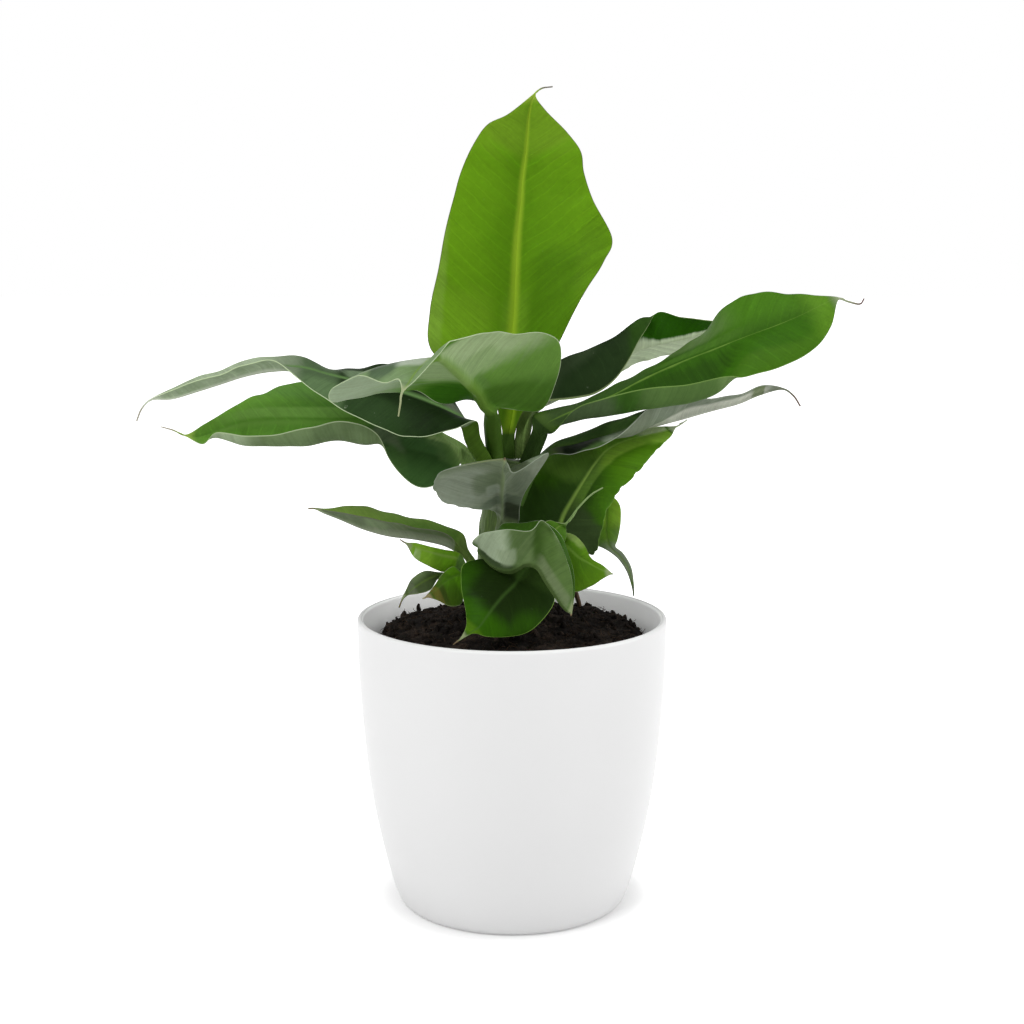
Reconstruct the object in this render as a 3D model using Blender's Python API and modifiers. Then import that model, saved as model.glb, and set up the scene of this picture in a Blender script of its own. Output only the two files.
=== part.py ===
"""A potted dwarf banana: planter, nursery pot, soil, stems and leaves, each as its own solid.

Lengths in this file are millimetres, and MM turns them into Blender's metres where a mesh is made.
The origin is the centre of the planter's foot, on the surface it stands on. -Y is the front.
"""
from collections import namedtuple
import math

import bmesh
import bpy
from mathutils import Matrix
import numpy as np

MM = 0.001
GAP = 0.3                # clearance between pieces that touch
TURNS = 40               # steps of each turned shape
SMOOTH_ANGLE = 40        # degrees; sharper edges stay sharp

# Planter: its outer side runs from the foot up, as radius and height
RIM_RADIUS = 90
PLANTER_HEIGHT = 170
PLANTER_WALL = 3.5
FLOOR = 4
FLOOR_RADIUS = 61
LIP_DROP = 1.2           # the rim's rounding
LIP_EASE = 0.6
PLANTER_SIDE = [(64.3, 0), (65.6, 0.5), (66.6, 1.6), (69.4, 8), (73.4, 21), (76.9, 35.5), (83.2, 69), (87.2, 106),
                (89.5, 143)]

# Nursery pot, standing inside the planter; heights are above its own foot
NURSERY_HEIGHT = 148
NURSERY_WALL = 1.2
NURSERY_FOOT = 54        # outer radius at the foot
NURSERY_TOP = 77         # outer radius under the rim
NURSERY_RIM = 79
NURSERY_RIM_DEPTH = 4
DRAIN_HOLES = 6
DRAIN_RADIUS = 4.5
DRAIN_CIRCLE = 34        # distance of the drain holes from the axis

# Soil: height of its shoulder and of its middle, and the radius of the heap above the nursery pot
SOIL_TOP = 163.5
SOIL_CROWN = 168.5
SOIL_RADIUS = 76

# Stems: centre line from the root up, its radii, and the colour
STEM_SIDES = 4           # bevel resolution of a stem's round section
GREEN_STEM = (0.10, 0.20, 0.05)
DRY_STEM = (0.16, 0.09, 0.04)
Stem = namedtuple("Stem", "path radii color")
STEMS = {
    # The main stem carries its corm, the rooted foot in the soil
    "pseudostem": Stem([(-11, 1, 113), (-11, 1, 125), (-11, 1, 142), (-11, 1, 157), (-10, 1, 182),
                        (-8, 0, 222), (-5, 0, 247), (-3, 0, 261)],
                       [9, 16, 15, 12, 11.2, 10.5, 10.4, 11], GREEN_STEM),
    "left_shoot": Stem([(-19, -17, 137), (-19, -18, 162), (-20, -18, 182), (-21, -17, 193)],
                       [3.5, 4.6, 4.8, 4.2], GREEN_STEM),
    "front_shoot": Stem([(2, -18, 137), (3, -19, 162), (4, -20, 182), (5, -21, 195)],
                        [5, 6.2, 6, 5], GREEN_STEM),
    "right_shoot": Stem([(14, 8, 137), (15, 8, 162), (16, 8, 182), (17, 8, 197)],
                        [4.5, 5.5, 5.2, 4.6], GREEN_STEM),
    # A withered leaf stalk, standing at the back
    "dry_stalk": Stem([(42, 54, 151), (41.5, 52, 162.5), (39, 42, 173), (35, 28, 183)],
                      [1.2, 1.3, 1.5, 1.6], DRY_STEM),
}

# Leaves: thickness at the edge and in the blade
EDGE = 0.5
BLADE = 0.6
DOME = 0.06              # how far a half-blade bulges upwards, as a share of its width
CHANNEL = 0.55           # height of a stalk's lips above its middle, as a share of its half width
CHANNEL_ROUND = 0.3      # how round the channel is
TAIL_HALF = 0.55         # half width of a drip tip
TAIL_CHANNEL = 0.1
TAIL_RIB = 0.7           # how far the rib stands below a drip tip
RIB_START = 0.8          # rib below the blade's base, as a share of the stalk's half width
RIB_END = 0.5            # and at the blade's tip
RIB_SHOULDER = 0.25      # how far the rib fills the corner beside it, as a share of the rib
SHOULDER_REACH = (0.15, 0.6)   # least and most of the half-blade that the rib's shoulder takes
STATIONS_PER_ROW = 1.6   # cross-sections of the solid for each row of the table
STUB_STATIONS = 3        # and of a stalk's socket

# A leaf, seen on its upper side with the tip away: half the width of its stalk, the stem it grows
# from, its colour, the stalk's path, the blade's cross-rows from base to tip (rib, left edge, right
# edge, and where a half is rolled or folded the point in its middle, left and right), and the path
# of its drip tip.
Leaf = namedtuple("Leaf", "half stem color stalk blade tail")
LEAVES = {
    "upright_leaf": Leaf(
        half=4.0, stem="pseudostem", color=(0.16, 0.36, 0.03),
        stalk=[(-3, 4, 261.5), (-3, 4, 266)],
        blade=[
            ((-2, 6, 275), (-5.5, 3, 276), (1.5, 3, 276)),
            ((0, 8, 285), (-7.5, 2, 286), (5.2, -1, 287)),
            ((0.5, 9, 292), (-9.5, 2, 293), (9.5, -2, 294)),
            ((-2, 10, 303), (-27, 2, 309), (19, 0, 310)),
            ((-1, 13, 322), (-46, 2, 324), (26, -2, 327)),
            ((1, 17, 343), (-47, 6, 346), (39, 0, 353)),
            ((2, 20, 366), (-42, 9, 370), (52, 4, 374)),
            ((3, 23, 386), (-38, 13, 392), (57, 9, 387)),
            ((5, 25, 407), (-33, 16, 411), (46, 13, 409)),
            ((6, 26, 421), (-29, 18, 425), (41, 15, 424)),
            ((8, 26, 436), (-22, 19, 440), (39, 15, 436)),
            ((9, 25, 448), (-14, 20, 451), (31, 18, 447)),
            ((10, 23, 458), (-2, 20, 457), (19, 19, 459)),
        ],
        tail=[(13, 20, 468), (17, 19, 471), (23, 19, 472)],
    ),
    "front_leaf": Leaf(
        half=4.4, stem="pseudostem", color=(0.24, 0.4, 0.2),
        stalk=[(-9, -5.5, 261.5), (-10, -6, 270), (-11, -12, 281)],
        blade=[
            ((-12, -20, 292), (-8, -19, 293), (-16, -21, 295)),
            ((-16, -27, 297), (15, -12, 291), (-26, -28, 299)),
            ((-19, -38, 304), (25, -20, 309), (-39, -42, 298)),
            ((-24, -54, 311), (25, -45, 333), (-53, -58, 307)),
            ((-31, -74, 320), (-1, -72, 339), (-76, -80, 306)),
            ((-37, -94, 327), (-17, -90, 339), (-93, -106, 306)),
            ((-40, -103, 328), (-29, -98, 337), (-91, -115, 314)),
            ((-43, -112, 326), (-33, -106, 335), (-78, -126, 320)),
            ((-48, -126, 322), (-41, -122, 326), (-63, -134, 318)),
            ((-51, -135, 318), (-48, -134, 319), (-56, -138, 320)),
        ],
        tail=[(-54, -140, 314), (-55, -141, 308), (-56, -141, 302)],
    ),
    "left_long_leaf": Leaf(
        half=4.8, stem="pseudostem", color=(0.03, 0.09, 0.04),
        stalk=[(-11, -7, 253), (-16, -9, 263), (-22, -12, 275)],
        blade=[
            ((-25, -14, 284), (-20, -22, 286), (-29, -4, 286)),
            ((-34, -12, 290), (-32, -34, 283), (-37, 6, 300)),
            ((-49, -10, 297), (-51, -36, 279), (-53, 10, 310)),
            ((-68, -8, 303), (-66, -36, 281), (-69, 12, 315)),
            ((-86, -8, 307), (-84, -34, 289), (-89, 12, 313)),
            ((-103, -8, 311), (-102, -28, 298), (-105, 8, 313)),
            ((-119, -8, 315), (-119, -20, 309), (-119, 2, 320)),
            ((-136, -10, 315), (-134, -18, 320), (-136, -2, 321)),
            ((-151, -12, 312), (-150, -20, 317), (-151, -5, 319)),
            ((-166, -14, 307), (-164, -21, 312), (-166, -8, 313)),
            ((-178, -16, 303), (-176, -22, 309), (-178, -10, 310)),
            ((-191, -18, 299), (-189, -22, 304), (-189, -14, 305)),
        ],
        tail=[(-203, -20, 298), (-208, -20, 293), (-211, -20, 286)],
    ),
    "left_broad_leaf": Leaf(
        half=5.0, stem="pseudostem", color=(0.06, 0.2, 0.04),
        stalk=[(-13, 4, 240), (-20, 3, 254), (-30, 2, 267)],
        blade=[
            ((-39, 4, 273), (-29, -8, 261), (-42, 10, 277)),
            ((-50, 8, 277), (-42, -18, 250), (-57, 28, 290)),
            ((-62, 11, 279), (-55, -20, 249), (-72, 36, 297)),
            ((-74, 12, 281), (-70, -19, 265), (-85, 40, 301)),
            ((-87, 12, 282), (-76, -18, 279), (-99, 40, 304), (-84, -7, 271.5)),
            ((-104, 12, 282), (-94, -14, 285), (-115, 38, 304), (-100, -4, 273)),
            ((-123, 12, 282), (-114, -14, 282), (-130, 34, 302), (-119, -4, 270)),
            ((-140, 12, 282), (-136, -10, 277), (-144, 28, 298), (-138, -2, 270)),
            ((-155, 10, 281), (-153, -6, 276), (-155, 22, 294), (-154, 0, 270)),
            ((-170, 8, 277), (-170, 0, 277), (-169, 15, 286), (-170, 2, 274)),
            ((-180, 6, 274), (-178, 2, 270), (-178, 8, 281)),
        ],
        tail=[(-188, 4, 275), (-195, 4, 278), (-202, 4, 280)],
    ),
    "back_right_leaf": Leaf(
        half=4.2, stem="pseudostem", color=(0.04, 0.12, 0.05),
        stalk=[(5.5, 2, 261.5), (5.5, 3, 269), (7, 6, 279)],
        blade=[
            ((11, 12, 289), (6, 20, 293), (15, 6, 293)),
            ((28, 24, 298), (32, 40, 293), (25, 4, 295), None, (25, 14, 315)),
            ((46, 34, 308), (53, 52, 300), (47, 10, 298), None, (43, 24, 322)),
            ((61, 44, 315), (71, 60, 310), (62, 20, 308), None, (60, 34, 329)),
            ((75, 52, 322), (85, 66, 314), (76, 34, 329), None, (76, 42, 340)),
            ((89, 60, 325), (100, 74, 317), (86, 48, 343), None, (86, 50, 336)),
            ((103, 68, 327), (113, 80, 323), (101, 60, 340)),
            ((118, 76, 330), (125, 86, 325), (121, 70, 337)),
        ],
        tail=[(137, 84, 334), (144, 88, 333)],
    ),
    "right_long_leaf": Leaf(
        half=4.4, stem="pseudostem", color=(0.07, 0.24, 0.03),
        stalk=[(4, -4, 249), (11, -5, 265), (16, -4, 277)],
        blade=[
            ((18, -3, 281), (12, 5, 286), (23, -11, 278)),
            ((36, -6, 291), (35, 10, 292), (35, -24, 293), None, (37, -18, 286)),
            ((56, -8, 299), (56, 14, 301), (55, -30, 301), None, (57, -24, 290)),
            ((75, -8, 309), (75, 18, 310), (76, -34, 306), None, (77, -28, 294)),
            ((95, -8, 318), (93, 22, 320), (96, -36, 308), None, (98, -30, 298)),
            ((113, -8, 325), (109, 24, 331), (115, -36, 312), None, (116, -28, 305)),
            ((131, -8, 332), (125, 22, 349), (133, -32, 313)),
            ((150, -8, 339), (142, 18, 356), (154, -28, 319)),
            ((164, -8, 345), (159, 12, 356), (170, -22, 328)),
            ((174, -8, 350), (172, 4, 355), (179, -14, 339)),
        ],
        tail=[(184, -8, 354), (190, -8, 352), (196, -8, 351), (198, -8, 354)],
    ),
    "right_slender_leaf": Leaf(
        half=3.4, stem="pseudostem", color=(0.05, 0.13, 0.06),
        stalk=[(3, 5, 235), (11, 6, 253)],
        blade=[
            ((21, 5, 266), (23, 9, 269), (22, 0, 264)),
            ((36, 4, 270), (39, 12, 275), (35, -9, 266)),
            ((54, 3, 275), (58, 13, 282), (52, -16, 272)),
            ((69, 2, 280), (74, 14, 287), (68, -20, 285), None, (69, -11, 277)),
            ((84, 1, 283), (86, 13, 292), (81, -18, 296), None, (83, -10, 286)),
            ((100, 1, 287), (103, 12, 292), (98, -12, 298)),
            ((114, -1, 291), (118, 8, 294), (114, -11, 298)),
            ((129, -3, 295), (131, 4, 297), (129, -10, 300)),
            ((141, -5, 300), (143, -1, 303), (142, -9, 305)),
        ],
        tail=[(154, -7, 303), (160, -7, 299), (164, -7, 293)],
    ),
    "right_broad_leaf": Leaf(
        half=3.0, stem="right_shoot", color=(0.06, 0.2, 0.03),
        stalk=[(18, 7, 191), (23, 5, 209)],
        blade=[
            ((27, 0, 218), (8, 9, 213), (33, -5, 213)),
            ((30, 3, 228), (1, 18, 226), (46, -14, 208)),
            ((35, 4, 237), (6, 20, 243), (51, -17, 219)),
            ((41, 4, 247), (14, 23, 256), (53, -18, 232)),
            ((48, 4, 258), (23, 26, 265), (59, -16, 243)),
            ((56, 4, 267), (41, 25, 271), (68, -14, 252)),
            ((66, 3, 272), (57, 22, 276), (77, -12, 262)),
            ((77, 1, 275), (72, 14, 278), (85, -10, 271)),
            ((88, -2, 278), (86, 4, 280), (91, -6, 276)),
        ],
        tail=[(94, -3, 281), (100, -4, 285)],
    ),
    "front_small_leaf": Leaf(
        half=2.8, stem="pseudostem", color=(0.2, 0.28, 0.22),
        stalk=[(-8, -9, 202), (-7, -16, 218)],
        blade=[
            ((-6.5, -23, 231), (3.5, -21, 228), (-8.5, -25, 233)),
            ((-6, -29, 241), (4.5, -28, 238), (-12, -31, 237)),
            ((-6, -36, 249), (7, -34, 247), (-23, -38, 239)),
            ((-5.5, -45, 257), (20, -50, 272), (-39, -48, 245)),
            ((-5, -54, 263), (1.5, -57, 262), (-43, -58, 256)),
            ((-4.3, -63, 268), (-2, -62, 267), (-37, -64, 264)),
        ],
        tail=[(-4, -67, 271), (-4, -71, 271)],
    ),
    "right_hanging_leaf": Leaf(
        half=2.0, stem="right_shoot", color=(0.08, 0.2, 0.05),
        stalk=[(18, 11, 189), (36, 22, 219), (50, 23, 236)],
        blade=[
            ((54, 17, 239), (59, 14, 237), (48, 14, 236)),
            ((55, 10, 232), (63, 8, 233), (43, 10, 227)),
            ((55, 4, 224), (63, 2, 224), (43, 6, 219)),
            ((55, -2, 217), (61, -4, 215.5), (46, 0, 213)),
            ((57, -5, 211.2), (59.7, -7, 211.8), (54.5, -5, 209.5)),
            ((62.5, -7, 206.3), (63.9, -8, 208.3), (61.2, -6, 204.7)),
            ((67.1, -8, 199.5), (68.5, -9, 200.6), (65.8, -7, 198.1)),
            ((69.3, -8, 191.8), (70, -9, 192.3), (68.5, -7, 191.3)),
        ],
        tail=[(70, -8, 186.5), (70.2, -8, 183)],
    ),
    "arched_leaf": Leaf(
        half=2.4, stem="front_shoot", color=(0.22, 0.33, 0.2),
        stalk=[(1, -21, 187), (-7, -30, 205), (-13, -38, 216)],
        blade=[
            ((-17, -47, 218), (-12, -41, 220), (-22, -51, 222)),
            ((-10, -55, 211), (-7, -38, 228), (-15, -62, 230)),
            ((-1, -62, 209), (0, -41, 232), (-4, -68, 232)),
            ((7, -64, 213), (10, -44, 233), (9, -68, 232)),
            ((14, -68, 212), (18, -54, 234), (16, -64, 237)),
            ((19, -71, 204), (26, -58, 228), (24, -64, 228)),
            ((25, -73, 195), (32, -62, 215), (30, -68, 215)),
            ((29, -75, 190), (34, -70, 201), (33, -72, 201)),
        ],
        tail=[(32, -76, 188), (32, -77, 187)],
    ),
    "bright_right_leaf": Leaf(
        half=2.2, stem="front_shoot", color=(0.1, 0.32, 0.03),
        stalk=[(7, -17, 179), (18, -26, 205)],
        blade=[
            ((26, -36, 220), (27, -34, 224), (27, -40, 217)),
            ((31, -42, 218), (34, -36, 224), (29, -48, 205)),
            ((37, -46, 213), (40, -40, 219), (34, -52, 195)),
            ((43, -49, 210), (44, -44, 212), (44, -52, 198)),
            ((49, -51, 207), (50, -48, 209), (50, -52, 202)),
        ],
        tail=[(55, -52, 205), (56, -52, 205)],
    ),
    "tendril_leaf": Leaf(
        half=1.8, stem="front_shoot", color=(0.1, 0.34, 0.04),
        stalk=[(6, -21, 191), (12, -34, 207)],
        blade=[
            ((16, -44, 217), (13, -45, 219), (20, -42, 216)),
            ((20, -46, 225), (15, -47, 230), (28, -42, 219)),
            ((24, -46, 229), (20, -47, 234), (30, -42, 224)),
            ((27, -45, 231), (24, -46, 233), (30, -42, 228)),
        ],
        tail=[(30, -46, 232), (38, -44, 242), (44, -44, 248), (50, -46, 252)],
    ),
    "round_leaf": Leaf(
        half=2.6, stem="front_shoot", color=(0.05, 0.2, 0.03),
        stalk=[(5, -24, 177), (8, -36, 199)],
        blade=[
            ((10, -44, 207), (14, -46, 206), (6, -44, 211)),
            ((6, -49, 204), (22, -50, 197), (-6, -43, 211)),
            ((1, -55, 199), (23, -54, 189), (-17, -44, 212)),
            ((-5, -60, 194), (16, -60, 180), (-27, -47, 209)),
            ((-10, -65, 189), (7, -64, 174), (-28, -55, 201)),
            ((-14, -68, 184), (-4, -68, 173), (-26, -60, 191)),
            ((-18, -70, 179), (-14, -71, 174), (-25, -65, 184)),
            ((-23, -72, 176), (-21, -72, 176), (-25, -70, 179)),
        ],
        tail=[(-28, -73, 173), (-32, -73, 170)],
    ),
    "slender_left_leaf": Leaf(
        half=2.6, stem="left_shoot", color=(0.09, 0.22, 0.06),
        stalk=[(-21, -15, 190), (-22.5, -14, 203), (-26.5, -14, 209.5)],
        blade=[
            ((-32, -15, 213), (-32.4, -20, 217.5), (-28.2, -8, 219.5)),
            ((-38.5, -16, 216.3), (-38.5, -23, 222.5), (-38.5, -5, 223.5)),
            ((-55, -18, 220), (-56, -27, 227), (-57, -2, 228)),
            ((-70, -20, 222), (-70, -29, 230), (-72, -2, 231)),
            ((-84, -22, 226), (-84, -29, 233), (-85, -5, 235)),
            ((-96, -23, 231), (-96, -27, 235), (-96, -12, 236)),
            ((-106, -24, 235), (-105, -25, 236), (-106, -20, 236)),
        ],
        tail=[(-111, -24, 237), (-115, -24, 237)],
    ),
    "small_left_leaf": Leaf(
        half=1.9, stem="left_shoot", color=(0.1, 0.3, 0.03),
        stalk=[(-22, -18, 186), (-27, -22, 201)],
        blade=[
            ((-31, -24, 207.5), (-32.5, -23, 201.5), (-29.5, -20, 210)),
            ((-38.5, -28, 210.5), (-39, -27, 201), (-38.5, -25, 213.5)),
            ((-46, -33, 213.5), (-47, -35, 206), (-46, -30, 216)),
            ((-54, -35, 216.5), (-55, -37, 211.5), (-54, -34, 219)),
        ],
        tail=[(-59.3, -36, 219.3), (-62.5, -37, 221.5)],
    ),
    "browned_leaf": Leaf(
        half=1.9, stem="left_shoot", color=(0.14, 0.24, 0.04),
        stalk=[(-20, -20, 181), (-24, -28, 195)],
        blade=[
            ((-28, -31, 200), (-27.5, -34, 195), (-32.5, -32, 205)),
            ((-34.5, -35, 199), (-28, -41, 186), (-39.5, -35, 201)),
            ((-39.5, -38.5, 195.5), (-34.5, -45, 185), (-43, -37, 196)),
            ((-44, -41, 192.2), (-41.5, -44, 188.2), (-46, -39, 192)),
        ],
        tail=[(-48, -43, 190), (-50, -43, 189)],
    ),
    "drooping_leaf": Leaf(
        half=1.6, stem="left_shoot", color=(0.06, 0.15, 0.06),
        stalk=[(-22, -15, 180), (-34, -14, 195)],
        blade=[
            ((-41, -20, 198), (-42, -22, 196), (-43, -18, 199)),
            ((-48, -24, 196), (-46, -28, 191), (-50, -20, 200)),
            ((-55, -27, 192), (-53, -30, 189), (-57, -23, 196)),
            ((-59, -29, 189), (-59, -30, 188), (-60, -28, 191)),
        ],
        tail=[(-62, -30, 186), (-64, -30, 181)],
    ),
}


def clear_scene():
    for old in list(bpy.data.objects):
        bpy.data.objects.remove(old, do_unlink=True)


def make_collection(name, hidden=False):
    group = bpy.data.collections.new(name)
    group.hide_render = hidden
    bpy.context.scene.collection.children.link(group)
    return group


def make_material(name, color, roughness):
    material = bpy.data.materials.new(name)
    material.use_nodes = True
    shader = material.node_tree.nodes["Principled BSDF"]
    shader.inputs["Base Color"].default_value = (*color, 1)
    shader.inputs["Roughness"].default_value = roughness
    shader.inputs["Metallic"].default_value = 0
    return material


def add_piece(name, mesh, group, material):
    piece = bpy.data.objects.new(name, mesh)
    group.objects.link(piece)
    mesh.materials.append(material)
    mesh.shade_smooth()
    mesh.set_sharp_from_angle(angle=math.radians(SMOOTH_ANGLE))
    return piece


def add_cutter(name, mesh, group):
    cutter = bpy.data.objects.new(name, mesh)
    group.objects.link(cutter)
    cutter.hide_render = True
    cutter.display_type = "WIRE"
    return cutter


def cut(target, cutter):
    modifier = target.modifiers.new(f"cut {cutter.name}", "BOOLEAN")
    modifier.operation = "DIFFERENCE"
    modifier.solver = "EXACT"
    modifier.object = cutter


# Turned pieces

def add_turned(name, profile, group, material):
    """A profile of (radius, height) points turned about Z. It runs down the outer side and closes inside."""
    mesh = bpy.data.meshes.new(name)
    points = [(radius * MM, 0, height * MM) for radius, height in profile]
    mesh.from_pydata(points, [(i, i + 1) for i in range(len(points) - 1)], [])
    piece = add_piece(name, mesh, group, material)
    screw = piece.modifiers.new("turn", "SCREW")
    screw.steps = screw.render_steps = TURNS
    screw.use_merge_vertices = True
    screw.merge_threshold = 0.00001
    screw.use_smooth_shade = True
    return piece


def planter_profile():
    crown = (RIM_RADIUS - PLANTER_WALL / 2, PLANTER_HEIGHT)
    ease = PLANTER_HEIGHT - LIP_DROP / 6
    drop = PLANTER_HEIGHT - LIP_DROP
    bore = RIM_RADIUS - PLANTER_WALL
    outside = [crown, (RIM_RADIUS - LIP_EASE, ease), (RIM_RADIUS, drop)] + PLANTER_SIDE[::-1]
    inner_side = [(radius - PLANTER_WALL, height) for radius, height in PLANTER_SIDE if height > 2 * FLOOR]
    inside = [(0, 0), (0, FLOOR), (FLOOR_RADIUS, FLOOR), (FLOOR_RADIUS + 2.5, FLOOR + 1)] + inner_side
    return outside + inside + [(bore, drop), (bore + LIP_EASE, ease), crown]


def nursery_radius(height):
    """Outer radius of the nursery pot at a height above its own foot."""
    return NURSERY_FOOT + (NURSERY_TOP - NURSERY_FOOT) * height / NURSERY_HEIGHT


def nursery_profile():
    foot = FLOOR + GAP
    rim = foot + NURSERY_HEIGHT
    wall = NURSERY_WALL
    return [
        (NURSERY_TOP - wall, rim),
        (NURSERY_RIM, rim),
        (NURSERY_RIM, rim - NURSERY_RIM_DEPTH),
        (NURSERY_RIM - wall, rim - NURSERY_RIM_DEPTH),
        (NURSERY_RIM - wall, rim - wall),
        (NURSERY_TOP, rim - wall),
        (nursery_radius(2), foot + 2),
        (NURSERY_FOOT - 2, foot),
        (0, foot),
        (0, foot + wall),
        (NURSERY_FOOT - 2 - wall, foot + wall),
        (nursery_radius(3) - wall, foot + 3),
        (NURSERY_TOP - wall, rim),
    ]


def soil_profile():
    foot = FLOOR + GAP + NURSERY_WALL + GAP
    clear = NURSERY_WALL + GAP
    brim = FLOOR + GAP + NURSERY_HEIGHT - 3
    return [
        (0, SOIL_CROWN),
        (25, SOIL_CROWN - 0.6),
        (50, SOIL_TOP + 1.6),
        (66, SOIL_TOP),
        (SOIL_RADIUS - 3, SOIL_TOP - 2),
        (SOIL_RADIUS, SOIL_TOP - 5),
        (nursery_radius(NURSERY_HEIGHT - 3) - clear, brim),
        (nursery_radius(5) - clear, foot + 3.5),
        (NURSERY_FOOT - clear - 3, foot),
        (0, foot),
    ]


def drill_drain_holes(nursery, cutters):
    for index in range(DRAIN_HOLES):
        angle = 2 * math.pi * index / DRAIN_HOLES
        made = bmesh.new()
        place = Matrix.Translation((DRAIN_CIRCLE * MM * math.cos(angle), DRAIN_CIRCLE * MM * math.sin(angle),
                                    FLOOR * MM))
        radius = DRAIN_RADIUS * MM
        bmesh.ops.create_cone(made, cap_ends=True, segments=16, radius1=radius, radius2=radius,
                              depth=6 * MM, matrix=place)
        mesh = bpy.data.meshes.new(f"drain hole {index + 1}")
        made.to_mesh(mesh)
        made.free()
        cut(nursery, add_cutter(mesh.name, mesh, cutters))


# Stems

def stem_mesh(name, stem, grow=0.0):
    """A round stem along its path, as a welded mesh that grow widens."""
    curve = bpy.data.curves.new(name, "CURVE")
    curve.dimensions = "3D"
    curve.bevel_depth = MM
    curve.bevel_resolution = STEM_SIDES
    curve.use_fill_caps = True
    spline = curve.splines.new("POLY")
    spline.points.add(len(stem.path) - 1)
    for point, place, radius in zip(spline.points, stem.path, stem.radii):
        point.co = (place[0] * MM, place[1] * MM, place[2] * MM, 1)
        point.radius = radius + grow
    spline.points[0].co[2] -= grow * MM
    guide = bpy.data.objects.new(name, curve)
    bpy.context.scene.collection.objects.link(guide)
    graph = bpy.context.evaluated_depsgraph_get()
    mesh = bpy.data.meshes.new_from_object(guide.evaluated_get(graph))
    bpy.data.objects.remove(guide)
    welded = bmesh.new()
    welded.from_mesh(mesh)
    bmesh.ops.remove_doubles(welded, verts=welded.verts, dist=0.00001)
    bmesh.ops.recalc_face_normals(welded, faces=welded.faces)
    welded.to_mesh(mesh)
    welded.free()
    return mesh


# Leaves

def unit(vectors):
    vectors = np.asarray(vectors, float)
    return vectors / np.maximum(np.linalg.norm(vectors, axis=-1, keepdims=True), 1e-9)


def through(values, knots, places):
    """A smooth curve through values at knots, read at places."""
    slopes = np.gradient(values, knots, axis=0)
    span = np.clip(np.searchsorted(knots, places, side="right") - 1, 0, len(knots) - 2)
    column = (-1,) + (1,) * (values.ndim - 1)
    width = (knots[span + 1] - knots[span]).reshape(column)
    t = (places - knots[span]).reshape(column) / width
    return ((2 * t**3 - 3 * t**2 + 1) * values[span] + (t**3 - 2 * t**2 + t) * slopes[span] * width
            + (3 * t**2 - 2 * t**3) * values[span + 1] + (t**3 - t**2) * slopes[span + 1] * width)


def blade_row(leaf, index, along):
    """The five points across a row of the blade, and how thick its rib is."""
    rib, left, right, *middles = leaf.blade[index]
    rib, left, right = (np.array(point, float) for point in (rib, left, right))
    up = unit(np.cross(right - left, along))
    points = []
    for edge, middle in zip((left, right), (middles + [None, None])[:2]):
        bulge = (rib + edge) / 2 + DOME * np.linalg.norm(edge - rib) * up
        points.append(bulge if middle is None else np.array(middle, float))
    keel = RIB_START * leaf.half * (1 - index / len(leaf.blade)) + RIB_END
    return [left, points[0], rib, points[1], right], keel


def strand_row(nearest, rib, along, half, channel):
    """The five points across a stalk or a drip tip, a shallow channel level with the nearest blade row."""
    side = np.array(nearest[2], float) - np.array(nearest[1], float)
    side = unit(side - along * (side @ along))
    lift = np.cross(side, along) * half * channel
    left, right = rib - side * half + lift, rib + side * half + lift
    left_middle, right_middle = ((rib + edge) / 2 - lift * CHANNEL_ROUND for edge in (left, right))
    return [left, left_middle, rib, right_middle, right]


def leaf_rows(leaf):
    """Every cross-row of a leaf, stalk to drip tip: left edge, left middle, rib, right middle, right
    edge. With it, how thick the rib is there."""
    ribs = np.array(leaf.stalk + [row[0] for row in leaf.blade] + leaf.tail, float)
    along = unit(np.gradient(ribs, axis=0))
    rows, keels = [], []
    for index, rib in enumerate(ribs):
        spot = index - len(leaf.stalk)
        if spot < 0:
            row, keel = strand_row(leaf.blade[0], rib, along[index], leaf.half, CHANNEL), leaf.half
        elif spot < len(leaf.blade):
            row, keel = blade_row(leaf, spot, along[index])
        else:
            row, keel = strand_row(leaf.blade[-1], rib, along[index], TAIL_HALF, TAIL_CHANNEL), TAIL_RIB
        rows.append(row)
        keels.append(keel)
    return np.array(rows), np.array(keels)


def across(rib, middle, edge, share):
    """A point on a half-blade: share runs from 0 at the rib to 1 at the edge."""
    pull = 2 * middle - (rib + edge) / 2
    return (1 - share)**2 * rib + 2 * share * (1 - share) * pull + share**2 * edge


def leaf_surface(leaf, stations):
    """The leaf's middle surface on a grid of stations by across, its normals, and how far its upper
    and lower skins stand off it."""
    rows, keels = leaf_rows(leaf)
    steps = np.linalg.norm(np.diff(rows, axis=0), axis=2).mean(axis=1)
    knots = np.concatenate([[0], np.cumsum(np.sqrt(steps))])
    places = np.linspace(0, knots[-1], stations)
    left, left_middle, rib, right_middle, right = np.moveaxis(through(rows, knots, places), 1, 0)
    keel = np.interp(places, knots, keels)
    halves = []
    for middle, edge in ((left_middle, left), (right_middle, right)):
        width = np.linalg.norm(edge - rib, axis=1)
        shoulder = np.clip(RIB_START * keel / width, *SHOULDER_REACH)[:, None]
        halves.append([across(rib, middle, edge, share) for share in (1, (1 + shoulder) / 2, shoulder)])
    surface = np.stack(halves[0] + [rib] + halves[1][::-1], axis=1)
    normals = unit(np.cross(np.gradient(surface, axis=1), np.gradient(surface, axis=0)))
    above = np.full(surface.shape[:2], BLADE / 2)
    above[:, (0, -1)] = EDGE / 2
    below = above.copy()
    below[:, (2, 4)] += RIB_SHOULDER * keel[:, None]
    below[:, 3] += keel
    return surface, normals, above, below


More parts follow.
